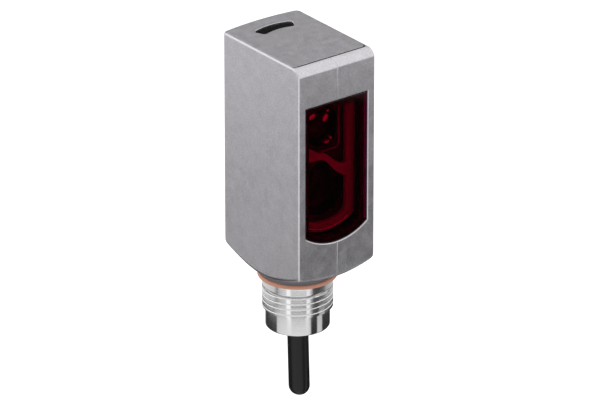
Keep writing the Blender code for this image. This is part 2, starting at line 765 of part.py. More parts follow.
def make_sender_led(clear_resin):
    """The emitter: a flat package with a small dome that looks into the sender tube."""
    package = on_board("sender_led", 0.0, SENDER_Z, LED_SIZE, clear_resin, side=-1)
    dome = arc((0.0, 0.0), LED_DOME_RADIUS, -math.pi / 2, 0.0, 4)
    base = LED_SIZE[2] / 2
    made = turned(
        "sender_dome_tool",
        [(0.0, -LED_DOME_RADIUS), *dome[1:], (LED_DOME_RADIUS, base), (0.0, base)],
        steps=SMALL_STEPS,
        centre=(0.0, BOARD_FRONT - SOLDER - LED_SIZE[2], SENDER_Z),
        along="Y",
    )
    join(package, made)


def make_receiver(tin, silicon):
    """The receiver chip and the shield can over it, open at a round aperture."""
    on_board("receiver_chip", 0.0, RECEIVER_Z, RECEIVER_CHIP_SIZE, silicon, side=-1)
    can = on_board("receiver_shield", 0.0, RECEIVER_Z, SHIELD_SIZE, tin, side=-1)
    rim = BOARD_FRONT - SOLDER
    roof = rim - SHIELD_SIZE[2]
    half = SHIELD_SIZE[0] / 2 - SHIELD_WALL
    inside = block(
        "shield_inside_cutter",
        (-half, roof + SHIELD_WALL, RECEIVER_Z - half),
        (half, rim + CUT_PAST, RECEIVER_Z + half),
    )
    hole = round_cutter("aperture_cutter", APERTURE_RADIUS, CUT_PAST, (0.0, roof, RECEIVER_Z))
    cut(can, inside, hole)


def make_board_parts(chip_black, ceramic, tantalum, green_lens, yellow_lens):
    """What stands on the rear of the board, from head to foot."""
    lamp_z = BOARD_HEAD - LAMP_SIZE[1] / 2
    for name, side, lens in (("green", -1, green_lens), ("yellow", 1, yellow_lens)):
        on_board(f"status_led_{name}", side * LAMP_SPACING / 2, lamp_z, LAMP_SIZE, lens)
    middle = (BOARD_HEAD + BOARD_FOOT) / 2
    controller_z = middle + CONTROLLER_SIZE[1] * 0.75
    on_board("controller_chip", 0.0, controller_z, CONTROLLER_SIZE, chip_black)
    capacitor_z = controller_z + CONTROLLER_SIZE[1] / 2 + 2 * CAPACITOR_SIZE[1]
    for i in range(CAPACITORS):
        x = (i - (CAPACITORS - 1) / 2) * CAPACITOR_SPACING
        on_board(f"ceramic_capacitor_{i + 1}", x, capacitor_z, CAPACITOR_SIZE, ceramic)
    driver_x = -DRIVER_SIZE[0] / 2
    driver_z = middle - 1.5 * DRIVER_SIZE[1]
    on_board("driver_chip", driver_x, driver_z, DRIVER_SIZE, chip_black)
    for i in range(RESISTORS):
        z = driver_z + ((RESISTORS - 1) / 2 - i) * RESISTOR_SPACING
        on_board(f"series_resistor_{i + 1}", RESISTOR_SIZE[0], z, RESISTOR_SIZE, chip_black)
    surge_z = driver_z - DRIVER_SIZE[1] / 2 - 1.5 * SURGE_SIZE[1]
    on_board("surge_capacitor", 0.0, surge_z, SURGE_SIZE, tantalum)


def make_light_guide(clear_resin):
    """Carries the light of both status lamps up to the bowed indicator window."""
    foot = BOARD_HEAD + FIT_GAP
    head = COVER_UNDER - INDICATOR_FLANGE - 2 * FIT_GAP
    lamp_y = BOARD_BACK + SOLDER + LAMP_SIZE[2] / 2
    below = slot_outline(0.0, GUIDE_HALF_LENGTH, GUIDE_HALF_WIDTH, lamp_y)
    above = slot_outline(-FIT_GAP)
    sections = [(below, foot), (below, foot + GUIDE_END), (above, head - GUIDE_END), (above, head)]
    loft("light_guide", [at_height(outline, z) for outline, z in sections], clear_resin)


def make_stem(steel):
    """The turned and threaded stem: spigot, seal groove, shoulder, thread, collar and gland bore."""
    top = FLOOR_HEIGHT - FIT_GAP
    groove_radius = SEAL_RING_RADIUS - SEAL_CORD_RADIUS - FIT_GAP
    groove_half = SEAL_CORD_RADIUS + FIT_GAP
    profile = [
        (GLAND_RADIUS, top),
        (SPIGOT_RADIUS, top),
        (SPIGOT_RADIUS, -FIT_GAP),
        (groove_radius, -FIT_GAP),
        (groove_radius, -SEAL_DROP - groove_half),
        (SHOULDER_RADIUS, -SEAL_DROP - groove_half),
        (SHOULDER_RADIUS, -SHOULDER_END),
        (THREAD_CORE_RADIUS, -SHOULDER_END - THREAD_RELIEF),
        (THREAD_CORE_RADIUS, -THREAD_END),
        (COLLAR_RADIUS, -THREAD_END),
        (COLLAR_RADIUS, CABLE_EXIT + COLLAR_EDGE_BREAK),
        (COLLAR_RADIUS - COLLAR_EDGE_BREAK, CABLE_EXIT),
        (CABLE_RADIUS + FIT_GAP, CABLE_EXIT),
        (CABLE_RADIUS + FIT_GAP, GLAND_FLOOR),
        (GLAND_RADIUS, GLAND_FLOOR),
    ]
    stem = turned("mounting_stem", profile, steel, steps=ROUND_STEPS)
    join(stem, thread_ridge())
    return stem


def thread_ridge():
    """One helical ridge of pointed section, sunk into the stem's core and tapered at both ends."""
    root_half = (THREAD_PITCH - THREAD_ROOT_FLAT) / 2
    crest_half = THREAD_CREST_FLAT / 2
    start = -THREAD_END + root_half
    finish = -SHOULDER_END - root_half
    turns = (finish - start) / THREAD_PITCH
    count = int(turns * THREAD_STEPS)
    base = THREAD_CORE_RADIUS - THREAD_SUNK
    sections = []
    for i in range(count + 1):
        turn = 2 * math.pi * turns * i / count
        height = start + (finish - start) * i / count
        share = min(1.0, (i + 0.5) / THREAD_FADE_STEPS, (count - i + 0.5) / THREAD_FADE_STEPS)
        crest = THREAD_CORE_RADIUS + (THREAD_CREST_RADIUS - THREAD_CORE_RADIUS) * share
        shape = [(base, -root_half), (crest, -crest_half), (crest, crest_half), (base, root_half)]
        sections.append([(r * math.cos(turn), r * math.sin(turn), height + rise) for r, rise in shape])
    return loft("thread_ridge_tool", sections)


def make_seal_ring(rubber):
    cord = arc((SEAL_RING_RADIUS, -SEAL_DROP), SEAL_CORD_RADIUS, 0.0, 2 * math.pi, 2 * ARC_STEPS)[:-1]
    return turned("seal_ring", cord, rubber, steps=ROUND_STEPS)


def make_grommet(rubber):
    """The ribbed bush that seals the cable in the gland."""
    foot = GLAND_FLOOR + FIT_GAP
    outer = GLAND_RADIUS - FIT_GAP
    waist = outer - GROMMET_RIB
    bands = 5
    step = GROMMET_LENGTH / bands
    profile = [(CABLE_RADIUS + FIT_GAP, foot)]
    for i in range(bands):
        radius = waist if i % 2 else outer
        profile += [(radius, foot + step * i), (radius, foot + step * (i + 1))]
    profile.append((CABLE_RADIUS + FIT_GAP, GROMMET_TOP))
    return turned("cable_grommet", profile, rubber, steps=CABLE_STEPS)


def make_ferrule(brass):
    inner = CABLE_RADIUS + FIT_GAP
    outer = inner + FERRULE_WALL
    head = FERRULE_FOOT + FERRULE_LENGTH
    profile = [(inner, FERRULE_FOOT), (outer, FERRULE_FOOT), (outer, head), (inner, head)]
    return turned("cable_ferrule", profile, brass, steps=CABLE_STEPS)


def cable_offset(drop):
    """How far the cable has leaned to one side, at a distance below the gland."""
    share = max(0.0, drop) / CABLE_STUB
    lean = CABLE_LEAN * share
    return lean * math.cos(CABLE_LEAN_HEADING), lean * math.sin(CABLE_LEAN_HEADING)


def make_cable_jacket(pvc):
    """The short cable end: through the grommet, straight out of the gland, closed by a round tip."""
    stations = [(JACKET_TOP, CABLE_RADIUS), (CABLE_EXIT, CABLE_RADIUS)]
    straight = CABLE_STUB - CABLE_END_ROUND
    stations.append((CABLE_EXIT - straight, CABLE_RADIUS))
    for i in range(1, TIP_STEPS + 1):
        turn = TIP_CLOSURE * i / TIP_STEPS
        drop = straight + CABLE_END_ROUND * math.sin(turn)
        stations.append((CABLE_EXIT - drop, CABLE_RADIUS * math.cos(turn)))
    sections = []
    for height, radius in stations:
        centre = cable_offset(CABLE_EXIT - height)
        ring = arc(centre, radius, 0.0, 2 * math.pi, CABLE_STEPS)[:-1]
        sections.append(at_height(ring, height))
    loft("cable_jacket", sections, pvc)


def make_wire(name, order, material):
    """One insulated conductor, from the end of the jacket up to its pad on the board."""
    side_x = -1 if order < 2 else 1
    side_y = -1 if order in (0, 3) else 1
    x, y = side_x * WIRE_SPACING, side_y * WIRE_SPACING
    row_x, row_y = ROW_SPACING * (order - 1.5), side_y * ROW_STAGGER
    pad_x = PAD_SPACING * (order - 1.5)
    pad_y = BOARD_FRONT - FIT_GAP - WIRE_RADIUS
    pad_z = BOARD_FOOT + PAD_RISE
    socket_z = (JACKET_TOP + FLOOR_HEIGHT) / 2
    route = smooth_route(
        [
            (x, y, JACKET_TOP + FIT_GAP),
            (x, y, (JACKET_TOP + socket_z) / 2),
            (row_x, row_y, socket_z + WIRE_RADIUS),
            (row_x, row_y + WIRE_RADIUS, FLOOR_HEIGHT - WIRE_RADIUS),
            ((row_x + pad_x) / 2, (row_y + pad_y) / 2, FLOOR_HEIGHT + 3 * WIRE_RADIUS),
            (pad_x, pad_y - PAD_LEAD_IN, pad_z),
            (pad_x, pad_y, pad_z + PAD_LENGTH),
        ],
        ROUTE_STEPS,
    )
    curve = bpy.data.curves.new(name, "CURVE")
    curve.dimensions = "3D"
    curve.bevel_depth = WIRE_RADIUS
    curve.bevel_resolution = 2
    curve.use_fill_caps = True
    line = curve.splines.new("POLY")
    line.points.add(len(route) - 1)
    for spot, place in zip(line.points, route):
        spot.co = (*place, 1.0)
    add_object(name, curve, material)


def build():
    clear_scene()
    cast_steel = make_material("blasted_stainless", (0.46, 0.45, 0.46), 0.42, 1.0)
    turned_steel = make_material("turned_stainless", (0.66, 0.65, 0.66), 0.16, 1.0)
    red_acrylic = make_material("red_acrylic", (0.30, 0.01, 0.02), 0.05, 0.0, 0.8)
    smoked = make_material("smoked_polycarbonate", (0.01, 0.01, 0.012), 0.2)
    clear = make_material("clear_resin", (0.85, 0.87, 0.88), 0.08, 0.0, 0.9)
    film = make_material("polarising_film", (0.12, 0.12, 0.14), 0.1, 0.0, 0.6)
    grey_plastic = make_material("grey_moulding", (0.42, 0.41, 0.41), 0.45)
    black_plastic = make_material("black_moulding", (0.012, 0.012, 0.013), 0.5)
    foam = make_material("black_foam", (0.015, 0.015, 0.016), 0.95)
    bond = make_material("black_bond", (0.02, 0.02, 0.02), 0.6)
    seal = make_material("terracotta_rubber", (0.47, 0.20, 0.13), 0.45)
    pvc = make_material("black_pvc", (0.02, 0.02, 0.022), 0.4)
    dark_rubber = make_material("dark_rubber", (0.04, 0.04, 0.045), 0.7)
    brass = make_material("brass", (0.62, 0.45, 0.18), 0.3, 1.0)
    tin = make_material("tinned_sheet", (0.72, 0.72, 0.70), 0.25, 1.0)
    laminate = make_material("green_laminate", (0.02, 0.16, 0.07), 0.4)
    chip_black = make_material("chip_resin", (0.02, 0.02, 0.022), 0.5)
    silicon = make_material("silicon", (0.10, 0.10, 0.16), 0.15, 0.6)
    ceramic = make_material("ceramic_body", (0.52, 0.38, 0.24), 0.5)
    tantalum = make_material("tantalum_body", (0.72, 0.42, 0.08), 0.45)
    green_lens = make_material("green_lamp", (0.10, 0.55, 0.20), 0.2)
    yellow_lens = make_material("yellow_lamp", (0.80, 0.60, 0.08), 0.2)

    make_housing(cast_steel)
    make_top_cover(cast_steel)
    make_indicator_window(smoked)
    make_front_window(red_acrylic)
    make_window_bond(bond)
    make_light_gasket(foam)
    make_lens_frame(grey_plastic)
    make_optics_block(black_plastic)
    make_lens("sender_lens", SENDER_Z, SENDER_RADIUS, clear)
    make_lens("receiver_lens", RECEIVER_Z, RECEIVER_RADIUS, clear)
    make_filter("sender_filter", SENDER_Z, SENDER_RADIUS, film)
    make_filter("receiver_filter", RECEIVER_Z, RECEIVER_RADIUS, film)
    make_board(laminate)
    make_sender_led(clear)
    make_receiver(tin, silicon)
    make_board_parts(chip_black, ceramic, tantalum, green_lens, yellow_lens)
    make_light_guide(clear)
    make_stem(turned_steel)
    make_seal_ring(seal)
    make_grommet(dark_rubber)
    make_ferrule(brass)
    make_cable_jacket(pvc)
    wires = {
        "wire_brown": (0.16, 0.06, 0.02),
        "wire_blue": (0.03, 0.10, 0.45),
        "wire_black": (0.015, 0.015, 0.015),
        "wire_white": (0.75, 0.75, 0.72),
    }
    for order, (name, colour) in enumerate(wires.items()):
        make_wire(name, order, make_material(name + "_insulation", colour, 0.45))
    apply_cuts()


build()
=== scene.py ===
"""The looks of a retro-reflective photoelectric sensor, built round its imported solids.

Metres, +Z up, in the frame of the solids: the origin lies on the axis of the threaded stem, in the
plane of the housing's flat seat, and the red window looks along -Y.
"""

import json
import math

import bmesh
import bpy
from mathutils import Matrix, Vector


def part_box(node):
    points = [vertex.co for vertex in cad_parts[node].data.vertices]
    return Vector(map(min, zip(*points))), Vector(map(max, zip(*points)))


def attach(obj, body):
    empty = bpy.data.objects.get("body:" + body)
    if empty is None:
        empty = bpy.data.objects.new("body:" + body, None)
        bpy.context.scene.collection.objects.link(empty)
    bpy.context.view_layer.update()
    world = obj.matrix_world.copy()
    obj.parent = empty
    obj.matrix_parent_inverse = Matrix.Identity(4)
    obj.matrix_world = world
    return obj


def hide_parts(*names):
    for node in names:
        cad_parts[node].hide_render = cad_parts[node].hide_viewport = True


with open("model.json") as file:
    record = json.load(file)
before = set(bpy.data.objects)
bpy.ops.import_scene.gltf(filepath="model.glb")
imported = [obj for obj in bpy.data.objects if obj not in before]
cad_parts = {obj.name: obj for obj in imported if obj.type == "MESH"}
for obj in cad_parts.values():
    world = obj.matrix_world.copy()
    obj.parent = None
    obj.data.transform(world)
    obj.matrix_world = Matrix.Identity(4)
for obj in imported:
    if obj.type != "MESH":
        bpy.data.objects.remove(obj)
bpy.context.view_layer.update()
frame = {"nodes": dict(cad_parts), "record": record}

# Housing, measured from its solid
HOUSING_LOW, HOUSING_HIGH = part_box("housing")
HALF_WIDTH = HOUSING_HIGH.x
FRONT = HOUSING_LOW.y
REAR = HOUSING_HIGH.y
TOP = HOUSING_HIGH.z
SIDE_WALL = 0.0011
FRONT_WALL = 0.0019
CAVITY_FLOOR = 0.0044
WALL_ROW = 0.008
REAR_BULGE = 0.00065
REAR_RADIUS = (HALF_WIDTH**2 + REAR_BULGE**2) / (2 * REAR_BULGE)
REAR_CORNER_RADIUS = 0.0010
FRONT_CORNER_RADIUS = 0.00026
LEAST_FILLET = 0.0001
TOP_EDGE_RADIUS = 0.0003
BROW_HEIGHT = 0.00134
BROW_FOOT = TOP - BROW_HEIGHT
BROW_ARC_DEPTH = 0.0026
BROW_ARC_HEIGHT = 0.001442
SEAT_RADIUS = 0.0064
SOCKET_RADIUS = 0.00402
UNDERSIDE_SLOPE = math.radians(26.5)
UNDERSIDE_BLEND = 0.0016
UNDERSIDE_MARGIN = 0.00005
UNDERSIDE_FILLET = 0.0005
AXIS_LINE_HALF = 0.00019
AXIS_LINE_DEPTH = 0.000035

# Fit between neighbouring pieces, how far a cutter runs past a face, and least steps between rows
FIT_GAP = 0.00012
CUT_PAST = 0.001
ROW_GAP = 0.00002
HAIRLINE = 0.000002

# Top cover and its slot
COVER_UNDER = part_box("top_cover")[0].z
COVER_RIM = 0.00045
COVER_SETBACK = 0.0019
COVER_CORNER_RADIUS = 0.0007
COVER_EDGE = 0.00003
COVER_JOINT = 0.00001
SEAM_WIDTH = 0.00026
SEAM_DEPTH = 0.0004
# The seam's black fill, which is painted shade, stops this far below the top
SEAM_FILL_DROP = 0.00008
LEDGE_WIDTH = 0.00065
LEDGE_THICKNESS = 0.0010
SLOT_Y = REAR - 0.0041
SLOT_OFFSET = 0.0002
SLOT_ARC_RADIUS = 0.0090
SLOT_HALF_LENGTH = 0.00355
SLOT_HALF_WIDTH = 0.0011
SLOT_CORNER_RADIUS = 0.00065
SLOT_RIM = 0.00008
INDICATOR_RECESS = 0.0003
INDICATOR_FLANGE = 0.0005
INDICATOR_EDGE = 0.0001

# Front window
WINDOW_HALF = HALF_WIDTH - 0.00142
WINDOW_TOP = TOP - 0.0070
WINDOW_CORNER = 0.0105
WINDOW_SAG = 0.00215
WINDOW_ARC_RADIUS = (WINDOW_HALF**2 + WINDOW_SAG**2) / (2 * WINDOW_SAG)
WINDOW_ARC_CENTRE = WINDOW_CORNER - WINDOW_SAG + WINDOW_ARC_RADIUS
WINDOW_LIP = 0.0002
WINDOW_RECESS = 0.00012
WINDOW_THICKNESS = 0.0008
WINDOW_LEDGE = 0.0005
PANE_EDGE = 0.00008
BOND_THICKNESS = 0.00016
BOND_SLACK = 0.00001
# How far the black lining reaches into the window's opening: a dark sheet that stands in for the shade along
# the opening's edges
SHADE_LINING = 0.0006
WINDOW_REBATE = WINDOW_RECESS + WINDOW_THICKNESS + BOND_THICKNESS + FIT_GAP

# Moulded frame between window and optics, and the wire along its foot
FRAME_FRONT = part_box("lens_frame")[0].y
FRAME_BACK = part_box("lens_frame")[1].y
FRAME_INSET = 0.00045
FRAME_FOOT_RISE = 0.00052
FRAME_RIM = 0.0018
FRAME_FOOT_RIM = 0.0021
FRAME_CORNER = 0.0016
# Painted shade over the frame's head, where the window's ledge shades it: where it starts and ends below the
# window's top, and how much darker it makes the moulding
FRAME_SHADE_FROM = 0.0034
FRAME_SHADE_TO = 0.0021
FRAME_HEAD_SHADE = 0.9
FRAME_DIM_FROM = 0.00548
FRAME_DIM_TO = 0.00560
FRAME_DIMMING = 0.65
WIRE_RADIUS = 0.00012
WIRE_RISE = 0.00048
# Steps over the frame's raised lip, as shares of its width inwards and of its height backwards
FRAME_LIP_WIDTH = 0.00022
FRAME_LIP_HEIGHT = 0.00022
FRAME_LIP = [(1.0, 1.0), (1.0, 0.4), (0.75, 0.1), (0.5, 0.0), (0.2, 0.15), (0.0, 0.5)]
# Knots of the rib's two edges, as (share of the opening's half width, drop below the rib's middle)
RIB_MIDDLE = 0.02192
RIB_UPPER_EDGE = [
    (-1.0, -0.0033), (-0.35, -0.0015), (-0.05, -0.0012), (0.45, 0.0006), (0.8, 0.0015), (1.0, 0.0014),
]
RIB_LOWER_EDGE = [
    (-1.0, -0.0003), (-0.5, -0.0004), (-0.05, 0.0001), (0.45, 0.0023), (0.75, 0.0033), (1.0, 0.0039),
]

# The clips that hold the sender's lens: place (x, z), half sizes and lean in degrees
OPTICS_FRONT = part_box("optics_block")[0].y
SENDER_MIDDLE = (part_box("sender_lens")[0].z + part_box("sender_lens")[1].z) / 2
LENS_CLIPS = [
    (-0.00231, 0.02996, 0.00072, 0.00058, 30),
    (0.00043, 0.02904, 0.00052, 0.00078, -25),
    (0.00085, 0.03029, 0.00032, 0.00034, 0),
    (0.00068, 0.02471, 0.00062, 0.00026, 0),
    (0.00144, 0.02530, 0.00026, 0.00030, 0),
]
CLIP_HEIGHT = 0.00035
BEZEL_HALF_WIDTH = 0.00305
BEZEL_HALF_HEIGHT = 0.00410
BEZEL_CORNER = 0.0008
BEZEL_WALL = 0.00009
BEZEL_OPEN_HALF = 0.0018

# Stem, seal ring and cable, measured from their solids
STEM_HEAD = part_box("mounting_stem")[1].z
STEM_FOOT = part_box("mounting_stem")[0].z
STEM_EDGE = 0.00015
SPIGOT_RADIUS = 0.0039
SHOULDER_RADIUS = 0.00588
SHOULDER_END = -0.0030
THREAD_CREST_RADIUS = 0.00591
THREAD_CORE_RADIUS = 0.00536
THREAD_PITCH = 0.0010
THREAD_HEAD = SHOULDER_END - 0.00015
THREAD_END = -0.0070
THREAD_FLANK_HEAD = 0.78
THREAD_FLANK_FOOT = 0.96
THREAD_GROOVE = 0.00007
THREAD_RUN_OUT = 0.12
COLLAR_RADIUS = 0.00538
COLLAR_EDGE = 0.0003
GLAND_RADIUS = 0.0031
GLAND_LIP = 0.0013
SEAL_LOW, SEAL_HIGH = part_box("seal_ring")
SEAL_CORD_RADIUS = 0.00036
SEAL_RING_RADIUS = SEAL_HIGH.x - SEAL_CORD_RADIUS
SEAL_LIFT = 0.0001
SEAL_Z = SEAL_LOW.z + SEAL_CORD_RADIUS + SEAL_LIFT
# How far down the seal's cord the dark ring of painted shade above it reaches
GAP_SHADE_CONTACT = 0.8
CABLE_LOW, CABLE_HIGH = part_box("cable_jacket")
CABLE_RADIUS = 0.00178
CABLE_LEAN = 0.0003
CABLE_HEADING = math.radians(-37)
CABLE_END_ROUND = 0.0017

# Camera, from the photograph's own perspective
CAMERA_AZIMUTH = math.radians(37.334)
CAMERA_ELEVATION = math.radians(25.003)
CAMERA_DISTANCE = 0.9645
CAMERA_AIM_SIDE = 0.000398
CAMERA_AIM_HEIGHT = 0.011274
CAMERA_FOCAL_PIXELS = 5881
IMAGE_WIDTH = 600
SENSOR_WIDTH = 36.0
UP = Vector((0.0, 0.0, 1.0))

# Smoothness of round stretches
CORNER_STEPS = 6
REAR_STEPS = 24
SIDE_STEPS = 20
FRONT_STEPS = 24
FILLET_STEPS = 5
SLOT_STEPS = 24
FOOT_STEPS = 40
OPENING_FOOT_STEPS = 30
OPENING_CORNER_STEPS = 8
RIB_STEPS = 8
CLIP_STEPS = 24
WIRE_STEPS = 12
ROUND_STEPS = 128
THREAD_ROWS = 120
CORD_STEPS = 28
CABLE_STEPS = 64
CABLE_ROWS = 8
SHARP_ANGLE = math.radians(30)


def arc(centre, radius, start, end, steps):
    """Points on a circular arc in the plane, both ends included; angles in radians."""
    turns = [start + (end - start) * i / steps for i in range(steps + 1)]
    return [(centre[0] + radius * math.cos(turn), centre[1] + radius * math.sin(turn)) for turn in turns]


def circle(centre, radius, steps):
    return arc(centre, radius, 0.0, 2 * math.pi, steps)[:-1]


def between(start, end, steps):
    """The inner points of a straight stretch, without its two ends."""
    return [
        (start[0] + (end[0] - start[0]) * i / steps, start[1] + (end[1] - start[1]) * i / steps)
        for i in range(1, steps)
    ]


def rounding(first, last, step):
    """Sine and cosine at every step of degrees from first to last."""
    turns = [math.radians(degrees) for degrees in range(first, last + 1, step)]
    return [(math.sin(turn), math.cos(turn)) for turn in turns]


def softened(edge):
    """Steps over a small round edge, as (distance from one face, distance from the other)."""
    return [(edge, 0.0), (edge * 0.3, edge * 0.3), (0.0, edge)]


def at_height(outline, height):
    return [(x, y, height) for x, y in outline]


def at_depth(outline, depth):
    return [(x, depth, z) for x, z in outline]


def shade_round(mesh):
    mesh.shade_smooth()
    mesh.set_sharp_from_angle(angle=SHARP_ANGLE)


def mesh_object(name, bm):
    bmesh.ops.recalc_face_normals(bm, faces=bm.faces[:])
    mesh = bpy.data.meshes.new(name)
    bm.to_mesh(mesh)
    bm.free()
    shade_round(mesh)
    made = bpy.data.objects.new(name, mesh)
    bpy.context.scene.collection.objects.link(made)
    return made


def loft(name, sections):
    """Skins closed sections that have the same number of points, and caps both ends."""
    bm = bmesh.new()
    rings = [[bm.verts.new(point) for point in section] for section in sections]
    for low, high in zip(rings, rings[1:]):
        for i in range(len(low)):
            j = (i + 1) % len(low)
            bm.faces.new((low[i], low[j], high[j], high[i]))
    bm.faces.new(rings[0])
    bm.faces.new(rings[-1])
    return mesh_object(name, bm)


def stacked(name, place, outline, rows):
    """Lofts what outline makes of each row's first number, at the height or depth of its second."""
    return loft(name, [place(outline(amount), level) for amount, level in rows])


def prism(name, place, outline, start, end):
    return loft(name, [place(outline, start), place(outline, end)])


def turned(name, profile, swell=None):
    """Turns a closed profile of (radius, height) points about the stem's axis.

    A profile that starts and ends on the axis makes a solid body, any other a ring. swell gives
    what is added to the radius at a height and an angle.
    """
    bm = bmesh.new()
    rings = []
    for radius, height in profile:
        ring = []
        for i in range(ROUND_STEPS if radius else 1):
            turn = 2 * math.pi * i / ROUND_STEPS
            reach = radius + (swell(radius, height, turn) if swell else 0.0)
            ring.append(bm.verts.new((reach * math.cos(turn), reach * math.sin(turn), height)))
        rings.append(ring)
    pairs = list(zip(rings, rings[1:]))
    if len(rings[0]) > 1:
        pairs.append((rings[-1], rings[0]))
    for low, high in pairs:
        for i in range(ROUND_STEPS):
            j = (i + 1) % ROUND_STEPS
            corners = (low[i % len(low)], low[j % len(low)], high[j % len(high)], high[i % len(high)])
            unique = list(dict.fromkeys(corners))
            if len(unique) > 2:
                bm.faces.new(unique)
    return mesh_object(name, bm)


def even_normals(piece):
    """Keeps broad flat faces flat to the light, next to the narrow roundings of their edges."""
    step = piece.modifiers.new("even_normals", "WEIGHTED_NORMAL")
    step.keep_sharp = True
    step.weight = 50


def cut(target, *tools, joined=()):
    """Adds the joined shapes to target, cuts the tools out of it, and removes them all."""
    for tool in (*joined, *tools):
        step = target.modifiers.new(tool.name, "BOOLEAN")
        step.operation = "UNION" if tool in joined else "DIFFERENCE"
        step.solver = "EXACT"
        step.object = tool
    depsgraph = bpy.context.evaluated_depsgraph_get()
    mesh = bpy.data.meshes.new_from_object(target.evaluated_get(depsgraph))
    target.modifiers.clear()
    target.data = mesh
    shade_round(mesh)
    for tool in (*joined, *tools):
        bpy.data.objects.remove(tool, do_unlink=True)


def plan_outline(inset, front=FRONT, front_radius=FRONT_CORNER_RADIUS):
    """The housing seen from above, drawn in by inset: flat front and sides, bowed rear."""
    half = HALF_WIDTH - inset
    bow_centre = REAR - REAR_RADIUS
    bow = REAR_RADIUS - inset
    rear_radius = max(REAR_CORNER_RADIUS - inset, LEAST_FILLET)
    reach = bow - rear_radius
    rear_y = bow_centre + math.sqrt(reach**2 - (half - rear_radius) ** 2)
    meet = math.atan2(rear_y - bow_centre, half - rear_radius)
    corner = arc((half - front_radius, front + front_radius), front_radius, -math.pi / 2, 0, CORNER_STEPS)
    fillet = arc((half - rear_radius, rear_y), rear_radius, 0, meet, CORNER_STEPS)
    right = corner + between(corner[-1], fillet[0], SIDE_STEPS) + fillet
    bowed = arc((0.0, bow_centre), bow, meet, math.pi - meet, REAR_STEPS)[1:-1]
    left = [(-x, y) for x, y in reversed(right)]
    return right + bowed + left + between(left[-1], right[0], FRONT_STEPS)


def cover_outline(inset, back, corner=COVER_CORNER_RADIUS):
    """The cover's recess seen from above, drawn in by inset and with its front set back."""
    return plan_outline(COVER_RIM + inset, FRONT + COVER_SETBACK + back, corner)


def foot_arc(radius, swing, steps):
    """An arc about the centre of the window's bowed foot, up to swing on either side."""
    down = -math.pi / 2
    return arc((0.0, WINDOW_ARC_CENTRE), radius, down - swing, down + swing, steps)


def window_outline(inset, foot_rise=0.0):
    """The window seen from the front as (x, z), drawn in by inset: square head, bowed foot."""
    half = WINDOW_HALF - inset
    head = WINDOW_TOP - inset
    radius = WINDOW_ARC_RADIUS - inset - foot_rise
    return foot_arc(radius, math.asin(half / radius), FOOT_STEPS) + [(half, head), (-half, head)]


def rounded_box(centre, half_x, half_y, corner):
    """Outline of a rectangle with round corners."""
    points = []
    for side_x, side_y, start in ((1, -1, -90), (1, 1, 0), (-1, 1, 90), (-1, -1, 180)):
        middle = (centre[0] + side_x * (half_x - corner), centre[1] + side_y * (half_y - corner))
        points += arc(middle, corner, math.radians(start), math.radians(start + 90), CORNER_STEPS)
    return points


def slot_outline(outset):
    """The bowed indicator slot seen from above, let out by outset."""
    half_length, half_width = SLOT_HALF_LENGTH + outset, SLOT_HALF_WIDTH + outset
    straight = rounded_box((0.0, 0.0), half_length, half_width, SLOT_CORNER_RADIUS + outset)
    refined = []
    for spot, after in zip(straight, straight[1:] + straight[:1]):
        refined.append(spot)
        if abs(after[0] - spot[0]) > SLOT_HALF_LENGTH:
            refined += between(spot, after, SLOT_STEPS)
    bent = []
    for along, across in refined:
        turn = along / SLOT_ARC_RADIUS
        radius = SLOT_ARC_RADIUS + across
        y = SLOT_Y - SLOT_ARC_RADIUS + radius * math.cos(turn)
        bent.append((SLOT_OFFSET + radius * math.sin(turn), y))
    return bent


def underside_height(reach):
    """How high the housing's underside is at a distance from the stem's axis."""
    outer = math.hypot(HALF_WIDTH, max(REAR, -FRONT)) + UNDERSIDE_MARGIN
    blend = outer - UNDERSIDE_BLEND
    cone_end = blend + UNDERSIDE_BLEND * math.sin(UNDERSIDE_SLOPE)
    rise = math.tan(UNDERSIDE_SLOPE)
    if reach <= cone_end:
        return (reach - SEAT_RADIUS) * rise
    middle = (cone_end - SEAT_RADIUS) * rise + UNDERSIDE_BLEND * math.cos(UNDERSIDE_SLOPE)
    return middle - math.sqrt(max(UNDERSIDE_BLEND**2 - (reach - blend) ** 2, 0.0))


def underside_rings():
    """Rings from the flat seat outwards and round the lower edge up to the walls."""
    edges = [Vector(point) for point in plan_outline(0.0)]
    inner = [edge * (1 - UNDERSIDE_FILLET / edge.length) for edge in edges]
    rings = []
    for share in (0.0, 0.15, 0.3, 0.45, 0.6, 0.75, 0.9):
        ring = []
        for point in inner:
            reach = SEAT_RADIUS + (point.length - SEAT_RADIUS) * share
            spot = point * (reach / point.length)
            ring.append((spot.x, spot.y, underside_height(reach)))
        rings.append(ring)
    for i in range(FILLET_STEPS + 1):
        t = i / FILLET_STEPS
        ring = []
        for point, edge in zip(inner, edges):
            low = Vector((point.x, point.y, underside_height(point.length)))
            corner = Vector((edge.x, edge.y, underside_height(edge.length)))
            high = corner + UP * UNDERSIDE_FILLET
            ring.append(low * (1 - t) ** 2 + corner * (2 * t * (1 - t)) + high * t**2)
        rings.append(ring)
    return rings


def brow_front(height):
    """Where the front face lies at a height, set back along the rounded brow."""
    rise = max(height - BROW_FOOT, 0.0) / BROW_ARC_HEIGHT
    return FRONT + BROW_ARC_DEPTH * (1 - math.sqrt(max(1 - rise**2, 0.0)))


def wall_rings():
    """Rings up the walls, round the brow and over the top edge."""
    edge_foot = TOP - TOP_EDGE_RADIUS
    heights = [WALL_ROW * i for i in range(1, 5)]
    heights += [BROW_FOOT + BROW_HEIGHT * sine for sine, _ in rounding(0, 84, 6)]
    heights = [height for height in heights if height < edge_foot - ROW_GAP]
    heights += [edge_foot + TOP_EDGE_RADIUS * sine for sine, _ in rounding(0, 90, 10)]
    rings = []
    for height in heights:
        over = max(height - edge_foot, 0.0) / TOP_EDGE_RADIUS
        inset = TOP_EDGE_RADIUS * (1 - math.sqrt(max(1 - over**2, 0.0)))
        rings.append(at_height(plan_outline(inset, brow_front(height)), height))
    return rings


